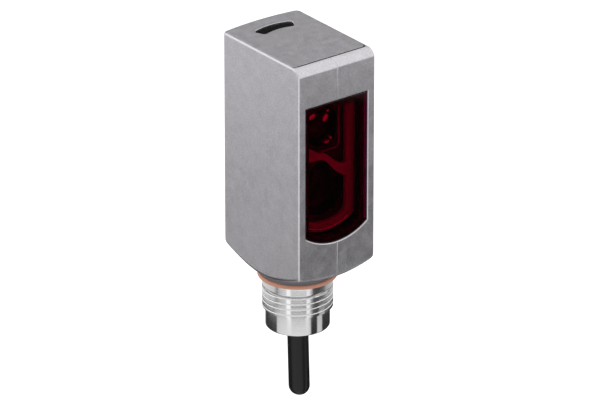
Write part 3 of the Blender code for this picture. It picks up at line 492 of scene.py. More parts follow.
def axis_line_cutter():
    """A shallow trough down the middle of the front, over the brow and down to the seat."""
    trough = [(AXIS_LINE_HALF * cosine, AXIS_LINE_DEPTH * sine) for sine, cosine in rounding(0, 180, 30)]
    trough += [(-AXIS_LINE_HALF, -CUT_PAST / 4), (AXIS_LINE_HALF, -CUT_PAST / 4)]
    heights = [-CUT_PAST, TOP / 2] + [BROW_FOOT + BROW_HEIGHT * sine for sine, _ in rounding(0, 90, 10)]
    path = [(brow_front(height), height) for height in heights]
    sections = []
    for i, (y, z) in enumerate(path):
        before, after = path[max(i - 1, 0)], path[min(i + 1, len(path) - 1)]
        slope = Vector((after[0] - before[0], after[1] - before[1])).normalized()
        sections.append([(across, y + slope.y * deep, z - slope.x * deep) for across, deep in trough])
    return loft("axis_line_cutter", sections)


def window_cutters():
    """The glazing rebate with its rounded lip, and the opening behind it."""
    rows = [(-WINDOW_LIP, FRONT - CUT_PAST), (-WINDOW_LIP, FRONT + HAIRLINE)]
    for sine, cosine in rounding(15, 90, 15):
        rows.append((-WINDOW_LIP * (1 - sine), FRONT + WINDOW_LIP * (1 - cosine)))
    rows.append((0.0, FRONT + WINDOW_REBATE))
    back = FRONT + FRONT_WALL + CUT_PAST
    return (
        stacked("window_rebate_cutter", at_depth, window_outline, rows),
        prism("window_opening_cutter", at_depth, window_outline(WINDOW_LEDGE), FRONT, back),
    )


def make_housing_shell():
    shell = loft("housing_shell", underside_rings() + wall_rings())
    cavity = plan_outline(SIDE_WALL, FRONT + FRONT_WALL)
    throat = cover_outline(LEDGE_WIDTH, LEDGE_WIDTH)
    ledge_under = COVER_UNDER - LEDGE_THICKNESS
    above = TOP + CUT_PAST
    high = CAVITY_FLOOR + CUT_PAST
    bore = [(0.0, -CUT_PAST), (SOCKET_RADIUS, -CUT_PAST), (SOCKET_RADIUS, high), (0.0, high)]
    cut(
        shell,
        prism("cavity_cutter", at_height, cavity, CAVITY_FLOOR, ledge_under),
        prism("throat_cutter", at_height, throat, ledge_under - CUT_PAST, above),
        prism("cover_recess_cutter", at_height, cover_outline(0.0, 0.0), COVER_UNDER - FIT_GAP, above),
        prism("front_seam_cutter", at_height, cover_outline(0.0, -SEAM_WIDTH), TOP - SEAM_DEPTH, above),
        turned("stem_socket_cutter", bore),
    )
    cut(shell, *window_cutters(), axis_line_cutter())
    return shell


def make_seam_fill():
    """A black fill in the open seam between the brow and the cover, which stands in for the seam's shade:
    painted shade.
    """
    seam, cover = cover_outline(0.0, -SEAM_WIDTH), cover_outline(COVER_JOINT, FIT_GAP)
    low = TOP - SEAM_DEPTH
    fill = prism("seam_fill", at_height, seam, low, TOP - SEAM_FILL_DROP)
    cut(fill, prism("seam_fill_cutter", at_height, cover, low - CUT_PAST, TOP + CUT_PAST))
    return fill


def make_cover_plate():
    sections = [at_height(cover_outline(COVER_JOINT, FIT_GAP), COVER_UNDER)]
    for sine, cosine in rounding(0, 88, 22):
        draw = COVER_EDGE * (1 - cosine)
        outline = cover_outline(COVER_JOINT + draw, FIT_GAP + draw, COVER_CORNER_RADIUS - draw)
        sections.append(at_height(outline, TOP - COVER_EDGE * (1 - sine)))
    cover = loft("cover_plate", sections)
    rows = [(0.0, COVER_UNDER - CUT_PAST)]
    rows += [(SLOT_RIM * (1 - cosine), TOP - SLOT_RIM * (1 - sine)) for sine, cosine in rounding(0, 75, 15)]
    rows += [(SLOT_RIM, TOP - HAIRLINE), (SLOT_RIM, TOP + CUT_PAST)]
    cut(cover, stacked("slot_cutter", at_height, slot_outline, rows))
    return cover


def make_slot_window():
    """The smoked insert in the slot, with a softened upper edge and a flange under the cover."""
    flange_top = COVER_UNDER - FIT_GAP
    face = TOP - INDICATOR_RECESS
    rows = [(INDICATOR_FLANGE, flange_top - INDICATOR_FLANGE), (INDICATOR_FLANGE, flange_top)]
    rows.append((-FIT_GAP, flange_top))
    rows += [(-FIT_GAP - inset, face - drop) for inset, drop in reversed(softened(INDICATOR_EDGE))]
    return stacked("slot_window", at_height, slot_outline, rows)


def make_window_pane():
    """The red pane, with a small bevel round its front face."""
    face = FRONT + WINDOW_RECESS
    rows = [(FIT_GAP + inset, face + depth) for inset, depth in softened(PANE_EDGE)]
    rows.append((FIT_GAP, face + WINDOW_THICKNESS))
    return stacked("window_pane", at_depth, window_outline, rows)


def make_window_bond():
    """The black adhesive behind the pane's edge, and a black lining drawn back along the opening's wall and
    reaching into the opening, which is painted shade at the opening's edges.
    """
    behind_lip = FRONT + WINDOW_LIP * 1.1
    near = FRONT + WINDOW_RECESS + WINDOW_THICKNESS + FIT_GAP / 2
    wall = FRONT + FRONT_WALL - FIT_GAP
    past = CUT_PAST / 2
    wider, narrower = window_outline(WINDOW_LEDGE + BOND_SLACK), window_outline(WINDOW_LEDGE + SHADE_LINING)
    seat = window_outline(FIT_GAP - BOND_SLACK, foot_rise=BOND_SLACK * 3)
    ring = prism("window_adhesive", at_depth, window_outline(BOND_SLACK), behind_lip, near + BOND_THICKNESS)
    shade_lining = prism("shade_lining", at_depth, wider, near, wall)
    opening = prism("bond_cutter", at_depth, narrower, near - past, wall + past)
    pane = prism("pane_cutter", at_depth, seat, FRONT - CUT_PAST, near)
    cut(ring, opening, pane, joined=[shade_lining])
    return ring


def rib_edge(knots, half):
    """A smooth edge of the rib through its knots, by way of evenly blended cubics."""
    spots = [Vector((share * half, RIB_MIDDLE - drop)) for share, drop in knots]
    spots = [spots[0] * 2 - spots[1], *spots, spots[-1] * 2 - spots[-2]]
    curve = []
    for a, b, c, d in zip(spots, spots[1:], spots[2:], spots[3:]):
        slope, bend, twist = c - a, a * 2 - b * 5 + c * 4 - d, b * 3 - a - c * 3 + d
        for i in range(RIB_STEPS):
            t = i / RIB_STEPS
            curve.append((b * 2 + slope * t + bend * t**2 + twist * t**3) / 2)
    return [(p.x, p.y) for p in [*curve, spots[-2]]]


def frame_outline(inset):
    """The moulded frame's outline, drawn in by inset: its foot stands a little above the window's."""
    return window_outline(FRAME_INSET + inset, foot_rise=FRAME_FOOT_RISE)


def frame_cutters():
    """The frame's openings above and below its rib, the lower one with a bowed foot."""
    half = WINDOW_HALF - FRAME_INSET - FRAME_RIM
    head = WINDOW_TOP - FRAME_INSET - FRAME_RIM
    radius = WINDOW_ARC_RADIUS - FRAME_INSET - FRAME_FOOT_RIM
    side = half - FRAME_CORNER
    drop = math.sqrt((radius - FRAME_CORNER) ** 2 - side**2)
    lean = math.atan2(drop, side)
    z = WINDOW_ARC_CENTRE - drop
    lower = arc((-side, z), FRAME_CORNER, -math.pi, lean - math.pi, OPENING_CORNER_STEPS)
    lower += foot_arc(radius, math.pi / 2 - lean, OPENING_FOOT_STEPS)[1:-1]
    lower += arc((side, z), FRAME_CORNER, -lean, 0.0, OPENING_CORNER_STEPS)
    lower += reversed(rib_edge(RIB_LOWER_EDGE, half))
    upper = rib_edge(RIB_UPPER_EDGE, half) + [(half, head), (-half, head)]
    return [
        prism(name, at_depth, outline, FRAME_FRONT - CUT_PAST, FRAME_BACK + CUT_PAST)
        for name, outline in (("upper_opening_cutter", upper), ("lower_opening_cutter", lower))
    ]


def make_lens_frame():
    """The moulded frame: a wavy rib between its two openings and a raised lip round its edge."""
    rows = [(FRAME_LIP_WIDTH * inner, FRAME_FRONT + FRAME_LIP_HEIGHT * back) for inner, back in FRAME_LIP]
    rows.append((0.0, FRAME_BACK))
    moulding = stacked("lens_frame_moulding", at_depth, frame_outline, rows)
    cut(moulding, *frame_cutters())
    return moulding


def make_lens_clip(name, x, z, half_x, half_z, lean):
    """A small polished dome that holds the sender's lens at its rim."""
    sine, cosine = math.sin(math.radians(lean)), math.cos(math.radians(lean))

    def ring(share):
        flat = [(a * half_x, b * half_z) for a, b in circle((0.0, 0.0), share, CLIP_STEPS)]
        return [(x + a * cosine - b * sine, z + a * sine + b * cosine) for a, b in flat]

    rows = [(1.0, OPTICS_FRONT + FIT_GAP)]
    rows += [(share, OPTICS_FRONT - CLIP_HEIGHT * rise) for rise, share in rounding(0, 80, 16)]
    return stacked(name, at_depth, ring, rows)


def make_sender_bezel():
    """A thin raised border round the sender's lens, on the optics block and open on its left."""
    middle = (0.0, SENDER_MIDDLE)
    sizes = (BEZEL_HALF_WIDTH, BEZEL_HALF_HEIGHT, BEZEL_CORNER)
    outer = rounded_box(middle, *sizes)
    inner = rounded_box(middle, *(size - BEZEL_WALL for size in sizes))
    left = (-BEZEL_HALF_WIDTH, SENDER_MIDDLE)
    beside = rounded_box(left, BEZEL_OPEN_HALF, BEZEL_HALF_HEIGHT * 2, BEZEL_CORNER)
    near, far = OPTICS_FRONT - CUT_PAST, OPTICS_FRONT + CUT_PAST
    bezel = prism("sender_bezel", at_depth, outer, OPTICS_FRONT - CLIP_HEIGHT, OPTICS_FRONT + FIT_GAP)
    inside = prism("bezel_cutter", at_depth, inner, near, far)
    cut(bezel, inside, prism("bezel_opening_cutter", at_depth, beside, near, far))
    return bezel


def make_foot_wire():
    """The bright retaining wire that lies along the foot of the moulded frame."""
    radius = WINDOW_ARC_RADIUS - FRAME_INSET - FRAME_FOOT_RISE - WIRE_RISE
    swing = math.asin((WINDOW_HALF - FRAME_INSET - FRAME_RIM / 2) / radius)
    lines = []
    for out, back in circle((0.0, 0.0), WIRE_RADIUS, WIRE_STEPS):
        lines.append(at_depth(foot_arc(radius + out, swing, FOOT_STEPS), FRAME_FRONT + back))
    return loft("foot_wire", list(zip(*lines)))


def thread_swell(radius, height, turn):
    """The thread's ridge over its core, faded out at both ends."""
    if radius != THREAD_CORE_RADIUS or not THREAD_END < height < THREAD_HEAD:
        return 0.0
    phase = (height - THREAD_PITCH * turn / (2 * math.pi)) / THREAD_PITCH % 1.0
    away = abs(phase - 0.5) * 2
    ridge = min(max((THREAD_FLANK_FOOT - away) / (THREAD_FLANK_FOOT - THREAD_FLANK_HEAD), 0.0), 1.0)
    ridge = ridge * ridge * (3 - 2 * ridge)
    room = min(height - THREAD_END, THREAD_HEAD - height) / THREAD_PITCH
    fade = min(max(room / THREAD_RUN_OUT, 0.0), 1.0)
    return (THREAD_CREST_RADIUS - THREAD_CORE_RADIUS - THREAD_GROOVE * (1 - ridge)) * fade


def make_threaded_stem():
    """The stem from its head down, and back up inside. Rows close to an edge keep it crisp."""
    groove_radius = SEAL_RING_RADIUS - SEAL_CORD_RADIUS - FIT_GAP
    groove_foot = SEAL_Z - SEAL_CORD_RADIUS - FIT_GAP
    cable_bore = CABLE_RADIUS + FIT_GAP
    gland_floor = STEM_FOOT + GLAND_LIP
    edge = softened(STEM_EDGE)
    by_edge = STEM_EDGE * 1.3
    thread_run = THREAD_END - THREAD_HEAD
    profile = [(GLAND_RADIUS, STEM_HEAD), (SPIGOT_RADIUS, STEM_HEAD), (SPIGOT_RADIUS, -FIT_GAP)]
    profile += [(groove_radius, -FIT_GAP), (groove_radius, groove_foot)]
    profile += [(SHOULDER_RADIUS - inset, groove_foot - drop) for inset, drop in edge]
    profile += [(SHOULDER_RADIUS, groove_foot - by_edge), (SHOULDER_RADIUS, SHOULDER_END + by_edge)]
    profile += [(SHOULDER_RADIUS - inset, SHOULDER_END + rise) for inset, rise in reversed(edge)]
    for i in range(THREAD_ROWS + 1):
        profile.append((THREAD_CORE_RADIUS, THREAD_HEAD + thread_run * i / THREAD_ROWS))
    profile += [(COLLAR_RADIUS, THREAD_END), (COLLAR_RADIUS, THREAD_END - STEM_EDGE)]
    profile += [(COLLAR_RADIUS, STEM_FOOT + COLLAR_EDGE * share) for share in (1.2, 1.0)]
    for sine, cosine in rounding(15, 90, 15):
        profile.append((COLLAR_RADIUS - COLLAR_EDGE * (1 - cosine), STEM_FOOT + COLLAR_EDGE * (1 - sine)))
    profile += [(cable_bore, STEM_FOOT), (cable_bore, gland_floor), (GLAND_RADIUS, gland_floor)]
    return turned("threaded_stem", profile, swell=thread_swell)


def make_seal():
    return turned("seal_cord", circle((SEAL_RING_RADIUS, SEAL_Z), SEAL_CORD_RADIUS, CORD_STEPS))


def make_seal_gap_shade():
    """A dark ring between the housing's seat and the seal's cord, which fills the gap there as painted
    shade.
    """
    inner = SEAL_RING_RADIUS - SEAL_CORD_RADIUS
    outer = SEAT_RADIUS - FIT_GAP
    low = SEAL_Z + SEAL_CORD_RADIUS * GAP_SHADE_CONTACT
    edge = FIT_GAP / 2
    high = -edge
    rim = [(outer - edge, low), (outer, low + edge), (outer, high - edge), (outer - edge, high)]
    return turned("seal_gap_shade", [(inner, low), *rim, (inner, high)])


def make_cable_end():
    """The short cable end: straight out of the gland and closed by a round tip."""
    reach = STEM_FOOT - CABLE_LOW.z
    straight = reach - CABLE_END_ROUND
    stations = [(CABLE_HIGH.z, CABLE_RADIUS)]
    stations += [(STEM_FOOT - straight * i / CABLE_ROWS, CABLE_RADIUS) for i in range(CABLE_ROWS + 1)]
    for sine, cosine in rounding(8, 88, 8):
        stations.append((STEM_FOOT - straight - CABLE_END_ROUND * sine, CABLE_RADIUS * cosine))
    sections = []
    for height, radius in stations:
        lean = CABLE_LEAN * max(0.0, STEM_FOOT - height) / reach
        centre = (lean * math.cos(CABLE_HEADING), lean * math.sin(CABLE_HEADING))
        sections.append(at_height(circle(centre, radius, CABLE_STEPS), height))
    return loft("cable_end", sections)


def add_node(tree, kind, **settings):
    """A shader node with some of its plain settings."""
    made = tree.nodes.new(kind)
    for name, value in settings.items():
        setattr(made, name, value)
    return made


def feed(tree, socket, value):
    """Links a node's value to a socket, or sets the socket to a number, in a colour as a grey."""
    if isinstance(value, bpy.types.NodeSocket):
        tree.links.new(value, socket)
    elif socket.type == "RGBA":
        socket.default_value = (value, value, value, 1.0)
    else:
        socket.default_value = value


def math_node(tree, operation, *values):
    made = add_node(tree, "ShaderNodeMath", operation=operation)
    for socket, value in zip(made.inputs, values):
        feed(tree, socket, value)
    return made.outputs[0]


def mix_by(tree, factor, first, second):
    made = add_node(tree, "ShaderNodeMix", data_type="RGBA")
    for label, value in (("Factor", factor), ("A", first), ("B", second)):
        feed(tree, made.inputs[label], value)
    return made.outputs["Result"]


def map_range(tree, value, bounds, results, kind="LINEAR"):
    """Maps a value from its two bounds to two results."""
    made = add_node(tree, "ShaderNodeMapRange", interpolation_type=kind)
    tree.links.new(value, made.inputs["Value"])
    for label, number in zip(("From Min", "From Max", "To Min", "To Max"), (*bounds, *results)):
        made.inputs[label].default_value = number
    return made.outputs[0]


def spread(tree, value, low, high):
    """Stretches a noise value, which stays near a half, to run from low to high."""
    return map_range(tree, value, (0.3, 0.7), (low, high))


def step_up(tree, value, low, high):
    """A soft step from 0 to 1 between two values."""
    return map_range(tree, value, (low, high), (0.0, 1.0), "SMOOTHSTEP")


def vary(tree, tone, value, strength):
    """A tone made lighter and darker by a noise value."""
    return math_node(tree, "MULTIPLY_ADD", spread(tree, value, -1.0, 1.0), strength, tone)


def noise(tree, vector, size, detail, roughness=0.55):
    """Noise with features of about a size in metres."""
    made = add_node(tree, "ShaderNodeTexNoise")
    tree.links.new(vector, made.inputs["Vector"])
    tree.links.new(math_node(tree, "DIVIDE", 1.0, size), made.inputs["Scale"])
    made.inputs["Detail"].default_value = detail
    made.inputs["Roughness"].default_value = roughness
    return made.outputs["Fac"]


def object_place(tree):
    return add_node(tree, "ShaderNodeTexCoord").outputs["Object"]


def object_axes(tree):
    made = add_node(tree, "ShaderNodeSeparateXYZ")
    tree.links.new(object_place(tree), made.inputs[0])
    return made.outputs


def new_group(name, *labels):
    """A node group that takes numbers under the given labels."""
    group = bpy.data.node_groups.new(name, "ShaderNodeTree")
    for label in labels:
        group.interface.new_socket(label, in_out="INPUT", socket_type="NodeSocketFloat")
    return group, add_node(group, "NodeGroupInput").outputs


def put_out(group, **values):
    """Ends a node group with the numbers that it puts out."""
    for label in values:
        group.interface.new_socket(label, in_out="OUTPUT", socket_type="NodeSocketFloat")
    result = add_node(group, "NodeGroupOutput")
    for label, value in values.items():
        group.links.new(value, result.inputs[label])
    return group


def surface_grain():
    """Grain of a blasted or moulded skin: fine pits over soft blotches, sizes in metres."""
    labels = ("Grain Size", "Blotch Size", "Blotch Strength", "Grain Strength")
    group, given = new_group("surface_grain", *labels)
    place = object_place(group)
    fine = noise(group, place, given["Grain Size"], detail=2.0)
    soft = noise(group, place, given["Blotch Size"], detail=4.0)
    tone = vary(group, 1.0, soft, given["Blotch Strength"])
    tone = vary(group, tone, fine, given["Grain Strength"])
    return put_out(group, Tone=tone, Height=fine, Blotch=soft)


def lathe_marks():
    """Fine rings that a turning tool leaves round the stem's axis."""
    group, given = new_group("lathe_marks", "Line Width", "Strength")
    place = object_axes(group)
    squares = [math_node(group, "POWER", place[axis], 2.0) for axis in "XY"]
    line = add_node(group, "ShaderNodeCombineXYZ")
    group.links.new(math_node(group, "SQRT", math_node(group, "ADD", *squares)), line.inputs["X"])
    group.links.new(place["Z"], line.inputs["Y"])
    rings = noise(group, line.outputs[0], given["Line Width"], detail=3.0, roughness=0.7)
    return put_out(group, Tone=vary(group, 1.0, rings, given["Strength"]), Height=rings)


GRAIN = surface_grain()
LATHE = lathe_marks()


def new_material(name, colour, roughness, metallic=0.0, **plain):
    """A material whose Principled shader holds the given constants."""
    made = bpy.data.materials.new(name)
    made.use_nodes = True
    shader = made.node_tree.nodes["Principled BSDF"]
    shader.inputs["Base Color"].default_value = (*colour, 1.0)
    shader.inputs["Roughness"].default_value = roughness
    shader.inputs["Metallic"].default_value = metallic
    for label, value in plain.items():
        shader.inputs[label.replace("_", " ")].default_value = value
    return made, made.node_tree, shader


def place_group(tree, group, **values):
    made = add_node(tree, "ShaderNodeGroup", node_tree=group)
    for label, value in values.items():
        made.inputs[label.replace("_", " ")].default_value = value
    return made.outputs


def tint(tree, shader, colour, tone):
    """Base Color is the colour, made lighter and darker by tone."""
    made = add_node(tree, "ShaderNodeVectorMath", operation="SCALE")
    made.inputs[0].default_value = colour
    tree.links.new(tone, made.inputs["Scale"])
    tree.links.new(made.outputs[0], shader.inputs["Base Color"])


def roughen(tree, shader, value, low, high):
    tree.links.new(spread(tree, value, low, high), shader.inputs["Roughness"])


def bump(tree, shader, height, depth):
    made = add_node(tree, "ShaderNodeBump")
    made.inputs["Distance"].default_value = depth
    tree.links.new(height, made.inputs["Height"])
    tree.links.new(made.outputs["Normal"], shader.inputs["Normal"])


def blasted_steel(name):
    colour = (0.556, 0.540, 0.568)
    made, tree, shader = new_material(name, colour, 0.33, metallic=1.0)
    grain = place_group(
        tree, GRAIN, Grain_Size=0.00022, Blotch_Size=0.0014, Blotch_Strength=0.05, Grain_Strength=0.13
    )
    tint(tree, shader, colour, grain["Tone"])
    roughen(tree, shader, grain["Blotch"], 0.29, 0.37)
    bump(tree, shader, grain["Height"], depth=0.000018)
    return made


def turned_steel(name):
    colour = (0.72, 0.715, 0.72)
    made, tree, shader = new_material(name, colour, 0.085, metallic=1.0)
    marks = place_group(tree, LATHE, Line_Width=0.00005, Strength=0.04)
    tint(tree, shader, colour, marks["Tone"])
    roughen(tree, shader, marks["Height"], 0.06, 0.11)
    bump(tree, shader, marks["Height"], depth=0.000002)
    return made


def grained(name, colour, roughness, grain_size=0.0002, depth=0.000004, metallic=0.0, **plain):
    """A moulded, fired or coated finish with a fine skin of its own."""
    made, tree, shader = new_material(name, colour, roughness, metallic, **plain)
    grain = place_group(
        tree, GRAIN, Grain_Size=grain_size, Blotch_Size=0.0015, Blotch_Strength=0.05, Grain_Strength=0.04
    )
    tint(tree, shader, colour, grain["Tone"])
    roughen(tree, shader, grain["Blotch"], roughness - 0.05, roughness + 0.05)
    bump(tree, shader, grain["Height"], depth)
    return made


def frame_moulding(name):
    """The frame's grey moulding, with painted shade towards its head, where the window's ledge shades it,
    and dimmed at its outer sides.
    """
    colour = (0.38, 0.37, 0.37)
    made, tree, shader = new_material(name, colour, 0.45)
    grain = place_group(
        tree, GRAIN, Grain_Size=0.0002, Blotch_Size=0.0012, Blotch_Strength=0.07, Grain_Strength=0.04
    )
    place = object_axes(tree)
    # Painted shade towards the frame's head, where the window's ledge shades it
    head = step_up(tree, place["Z"], WINDOW_TOP - FRAME_SHADE_FROM, WINDOW_TOP - FRAME_SHADE_TO)
    side = step_up(tree, math_node(tree, "ABSOLUTE", place["X"]), FRAME_DIM_FROM, FRAME_DIM_TO)
    tone = grain["Tone"]
    for share, loss in ((head, FRAME_HEAD_SHADE), (side, FRAME_DIMMING)):
        tone = math_node(tree, "MULTIPLY", tone, math_node(tree, "MULTIPLY_ADD", share, -loss, 1.0))
    tint(tree, shader, colour, tone)
    bump(tree, shader, grain["Height"], depth=0.000004)
    return made


def clear(name, colour, roughness):
    """A clear or tinted pane, lens or film, with the faintest unevenness in its polish."""
    made, tree, shader = new_material(name, colour, roughness, Transmission_Weight=1.0, IOR=1.49)
    grain = place_group(
        tree, GRAIN, Grain_Size=0.004, Blotch_Size=0.006, Blotch_Strength=0.02, Grain_Strength=0.0
    )
    tint(tree, shader, colour, grain["Tone"])
    roughen(tree, shader, grain["Blotch"], roughness * 0.5, roughness * 1.5)
    return made


FINISHES = {
    "blasted_stainless": blasted_steel,
    "turned_stainless": turned_steel,
    "red_acrylic": lambda name: clear(name, (0.70, 0.004, 0.15), 0.01),
    "smoked_polycarbonate": lambda name: grained(
        name, (0.003, 0.003, 0.0035), 0.35, Specular_IOR_Level=0.02
    ),
    "clear_resin": lambda name: clear(name, (0.92, 0.94, 0.95), 0.02),
    "polarising_film": lambda name: clear(name, (0.45, 0.45, 0.48), 0.02),
    "grey_moulding": frame_moulding,
    "black_moulding": lambda name: grained(name, (0.012, 0.012, 0.013), 0.5),
    "black_foam": lambda name: grained(name, (0.010, 0.010, 0.011), 0.95, depth=0.00003),
    "black_bond": lambda name: grained(name, (0.034, 0.034, 0.034), 0.9, Specular_IOR_Level=0.05),
    "terracotta_rubber": lambda name: grained(name, (0.74, 0.35, 0.24), 0.4),
    "black_pvc": lambda name: grained(name, (0.007, 0.0066, 0.0074), 0.32, Specular_IOR_Level=0.3),
    "dark_rubber": lambda name: grained(name, (0.19, 0.187, 0.192), 0.7),
    "brass": lambda name: grained(name, (0.72, 0.52, 0.22), 0.28, metallic=1.0),
    "tinned_sheet": lambda name: grained(name, (0.72, 0.72, 0.70), 0.25, metallic=1.0),
    "green_laminate": lambda name: grained(name, (0.02, 0.16, 0.07), 0.35, grain_size=0.0006),
    "chip_resin": lambda name: grained(name, (0.02, 0.02, 0.022), 0.5),
    "silicon": lambda name: grained(name, (0.10, 0.10, 0.16), 0.12, metallic=0.6),
    "ceramic_body": lambda name: grained(name, (0.52, 0.38, 0.24), 0.5),
    "tantalum_body": lambda name: grained(name, (0.72, 0.42, 0.08), 0.45),
    "green_lamp": lambda name: grained(name, (0.10, 0.55, 0.20), 0.2),
    "yellow_lamp": lambda name: grained(name, (0.80, 0.60, 0.08), 0.2),
    "wire_brown_insulation": lambda name: grained(name, (0.16, 0.06, 0.02), 0.4),
    "wire_blue_insulation": lambda name: grained(name, (0.03, 0.10, 0.45), 0.4),
    "wire_black_insulation": lambda name: grained(name, (0.015, 0.015, 0.015), 0.4),
    "wire_white_insulation": lambda name: grained(name, (0.75, 0.75, 0.72), 0.4),
}
FINISH = {slot: make(slot) for slot, make in FINISHES.items()}


def wear(thing, slot):
    """Gives a piece or node the finish of its slot."""
    thing.data.materials.clear()
    thing.data.materials.append(FINISH[slot])


def finish_nodes():
    """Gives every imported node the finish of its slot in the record."""
    for part in frame["record"]["subparts"]:
        wear(frame["nodes"][part["node"]], part["material_slot"])


def dress(piece, node, slot):
    """A finer piece takes its node's place, body and finish."""
    wear(piece, slot)
    even_normals(piece)
    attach(piece, "root")
    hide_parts(node)


def add_detail(piece, slot):
    """A small piece that no node stands for."""
    wear(piece, slot)
    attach(piece, "root")


def make_pieces():
    # The seam's black fill is painted shade
    add_detail(make_seam_fill(), "black_bond")
    # The dark ring above the seal is painted shade
    add_detail(make_seal_gap_shade(), "dark_rubber")
    add_detail(make_sender_bezel(), "grey_moulding")
    add_detail(make_foot_wire(), "tinned_sheet")
    for i, clip in enumerate(LENS_CLIPS, start=1):
        add_detail(make_lens_clip(f"lens_clip_{i}", *clip), "tinned_sheet")
    dress(make_housing_shell(), "housing", "blasted_stainless")
    dress(make_cover_plate(), "top_cover", "blasted_stainless")
    dress(make_slot_window(), "indicator_window", "smoked_polycarbonate")
    dress(make_window_pane(), "front_window", "red_acrylic")
    dress(make_window_bond(), "window_bond", "black_bond")
    dress(make_lens_frame(), "lens_frame", "grey_moulding")
    dress(make_threaded_stem(), "mounting_stem", "turned_stainless")
    dress(make_seal(), "seal_ring", "terracotta_rubber")
    dress(make_cable_end(), "cable_jacket", "black_pvc")


def direction(turn, elevation=0.0):
    """The way to a place, by radians to the right of the camera and above the horizon."""
    azimuth = CAMERA_AZIMUTH - turn
    level = math.cos(elevation)
    return Vector((-math.sin(azimuth) * level, -math.cos(azimuth) * level, math.sin(elevation)))


def put_facing(name, data, middle, away, distance):
    """A camera or lamp that faces a middle point from a distance."""
    made = bpy.data.objects.new(name, data)
    made.location = middle + away * distance
    made.rotation_mode = "QUATERNION"
    made.rotation_quaternion = (-away).to_track_quat("-Z", "Y")
    bpy.context.scene.collection.objects.link(made)
    return made


def make_camera():
    data = bpy.data.cameras.new("photo_camera")
    data.sensor_width = SENSOR_WIDTH
    data.lens = CAMERA_FOCAL_PIXELS / IMAGE_WIDTH * SENSOR_WIDTH
    data.clip_start = 0.05
    data.clip_end = 20.0
    aim = direction(math.pi / 2) * CAMERA_AIM_SIDE + UP * CAMERA_AIM_HEIGHT
    away = direction(0.0, CAMERA_ELEVATION)
    bpy.context.scene.camera = put_facing("photo_camera", data, aim, away, CAMERA_DISTANCE)


# Stage: a floor below the cable, and soft light. The softboxes are placed by degrees to the right
# of the camera and above the horizon, by distance and by size, and each has its radiance
FLOOR_DROP = 0.022
FLOOR_SIZE = 6.0
FLOOR_TONE = 0.85
FLOOR_GLOW = 0.6
AMBIENT = 0.62
SOFTBOXES = {"left_softbox": (-105, 30, 0.45, 0.30, 1.2), "top_softbox": (110, 60, 0.50, 0.35, 1.2)}

# How bright the studio looks in bare metal, as (degrees to the right of the camera, brightness).
# The floor, by distance from the stem's axis: the collar, the thread, the shoulder, and the foot
# and the head of the walls each mirror a ring of it
FLOOR_BY_COLLAR = [
    (-180, 0.75), (-166, 0.75), (-146, 0.05), (-79, 0.05), (-73, 0.85), (-40, 0.95), (20, 0.95), (44, 0.85),
    (49, 0.04), (70, 0.04), (74, 0.80), (92, 0.70), (97, 0.04), (156, 0.04), (170, 0.70), (180, 0.75),
]
FLOOR_BY_THREAD = [
    (-180, 0.80), (-130, 0.85), (-82, 0.80), (-70, 0.32), (-60, 0.40), (-38, 0.58), (-33, 1.45), (-24, 1.45),
    (-19, 0.24), (14, 0.22), (25, 0.16), (30, 1.20), (37, 1.20), (42, 0.28), (58, 0.14), (85, 0.12),
    (100, 0.45), (180, 0.80),
]
FLOOR_BY_SHOULDER = [
    (-180, 0.80), (-100, 0.80), (-82, 0.75), (-74, 0.55), (-68, 0.20), (-62, 0.62), (-50, 0.85), (-36, 0.95),
    (-30, 1.15), (-24, 1.00), (20, 1.08), (43, 1.00), (51, 0.06), (74, 0.06), (82, 0.14), (94, 0.16),
    (104, 0.50), (130, 0.65), (180, 0.80),
]
FLOOR_BY_LOW_WALL = [
    (-180, 0.55), (-130, 0.36), (-85, 0.36), (-60, 1.10), (20, 1.20), (45, 0.40), (60, 0.20), (95, 0.20),
    (130, 0.50), (180, 0.55),
]
FLOOR_BY_HIGH_WALL = [
    (-180, 0.70), (-130, 0.79), (-85, 0.79), (-60, 1.20), (20, 1.20), (45, 0.55), (60, 0.48), (95, 0.48),
    (130, 0.60), (180, 0.70),
]
FLOOR_FAR = [
    (-180, 0.60), (-130, 1.0), (-60, 1.2), (20, 1.0), (50, 1.05), (110, 1.05), (150, 0.7), (180, 0.6),
]
# Where each ring of the floor takes over from the one before: fade from, fade to
FLOOR_RINGS = [
    (0.0845, 0.0860, FLOOR_BY_THREAD, "by thread"),
    (0.0925, 0.0945, FLOOR_BY_SHOULDER, "by shoulder"),
    (0.0990, 0.1100, FLOOR_BY_LOW_WALL, "by low wall"),
    (0.1195, 0.2005, FLOOR_BY_HIGH_WALL, "by high wall"),
    (0.2660, 0.3890, FLOOR_FAR, "far"),
]
# A black card lies on the floor where the window pane mirrors it
CARD_TURN = (64, 69, 77, 82)
CARD_REACH = (0.110, 0.122, 0.185, 0.200)
CARD_TONE = 0.01
# The surroundings, low and high above the horizon, and the sines of elevation between which they blend
AROUND_LOW = [
    (-180, 0.35), (-166, 0.43), (-148, 1.30), (-95, 1.50), (-60, 0.90), (40, 0.90), (55, 1.22), (150, 1.22),
    (166, 0.43), (180, 0.35),
]
AROUND_HIGH = [
    (-180, 1.2), (-150, 1.6), (-100, 1.6), (-60, 0.9), (40, 1.0), (80, 1.2), (150, 1.2), (180, 1.2),
]
AROUND_BLEND = (0.56, 0.68)


def share_of_turn(degrees):
    return (degrees + 180) / 360


def azimuth_ramp(tree, share, stops, name):
    """Brightness by direction round the object, from a list of stops."""
    made = add_node(tree, "ShaderNodeValToRGB", label=name)
    elements = made.color_ramp.elements
    while len(elements) < len(stops):
        elements.new(0.5)
    for element, (degrees, value) in zip(elements, stops):
        element.position = share_of_turn(degrees)
        element.color = (value, value, value, 1.0)
    tree.links.new(share, made.inputs["Fac"])
    return made.outputs["Color"]


def dot_with(tree, vector, axis):
    made = add_node(tree, "ShaderNodeVectorMath", operation="DOT_PRODUCT")
    tree.links.new(vector, made.inputs[0])
    made.inputs[1].default_value = axis
    return made.outputs["Value"]


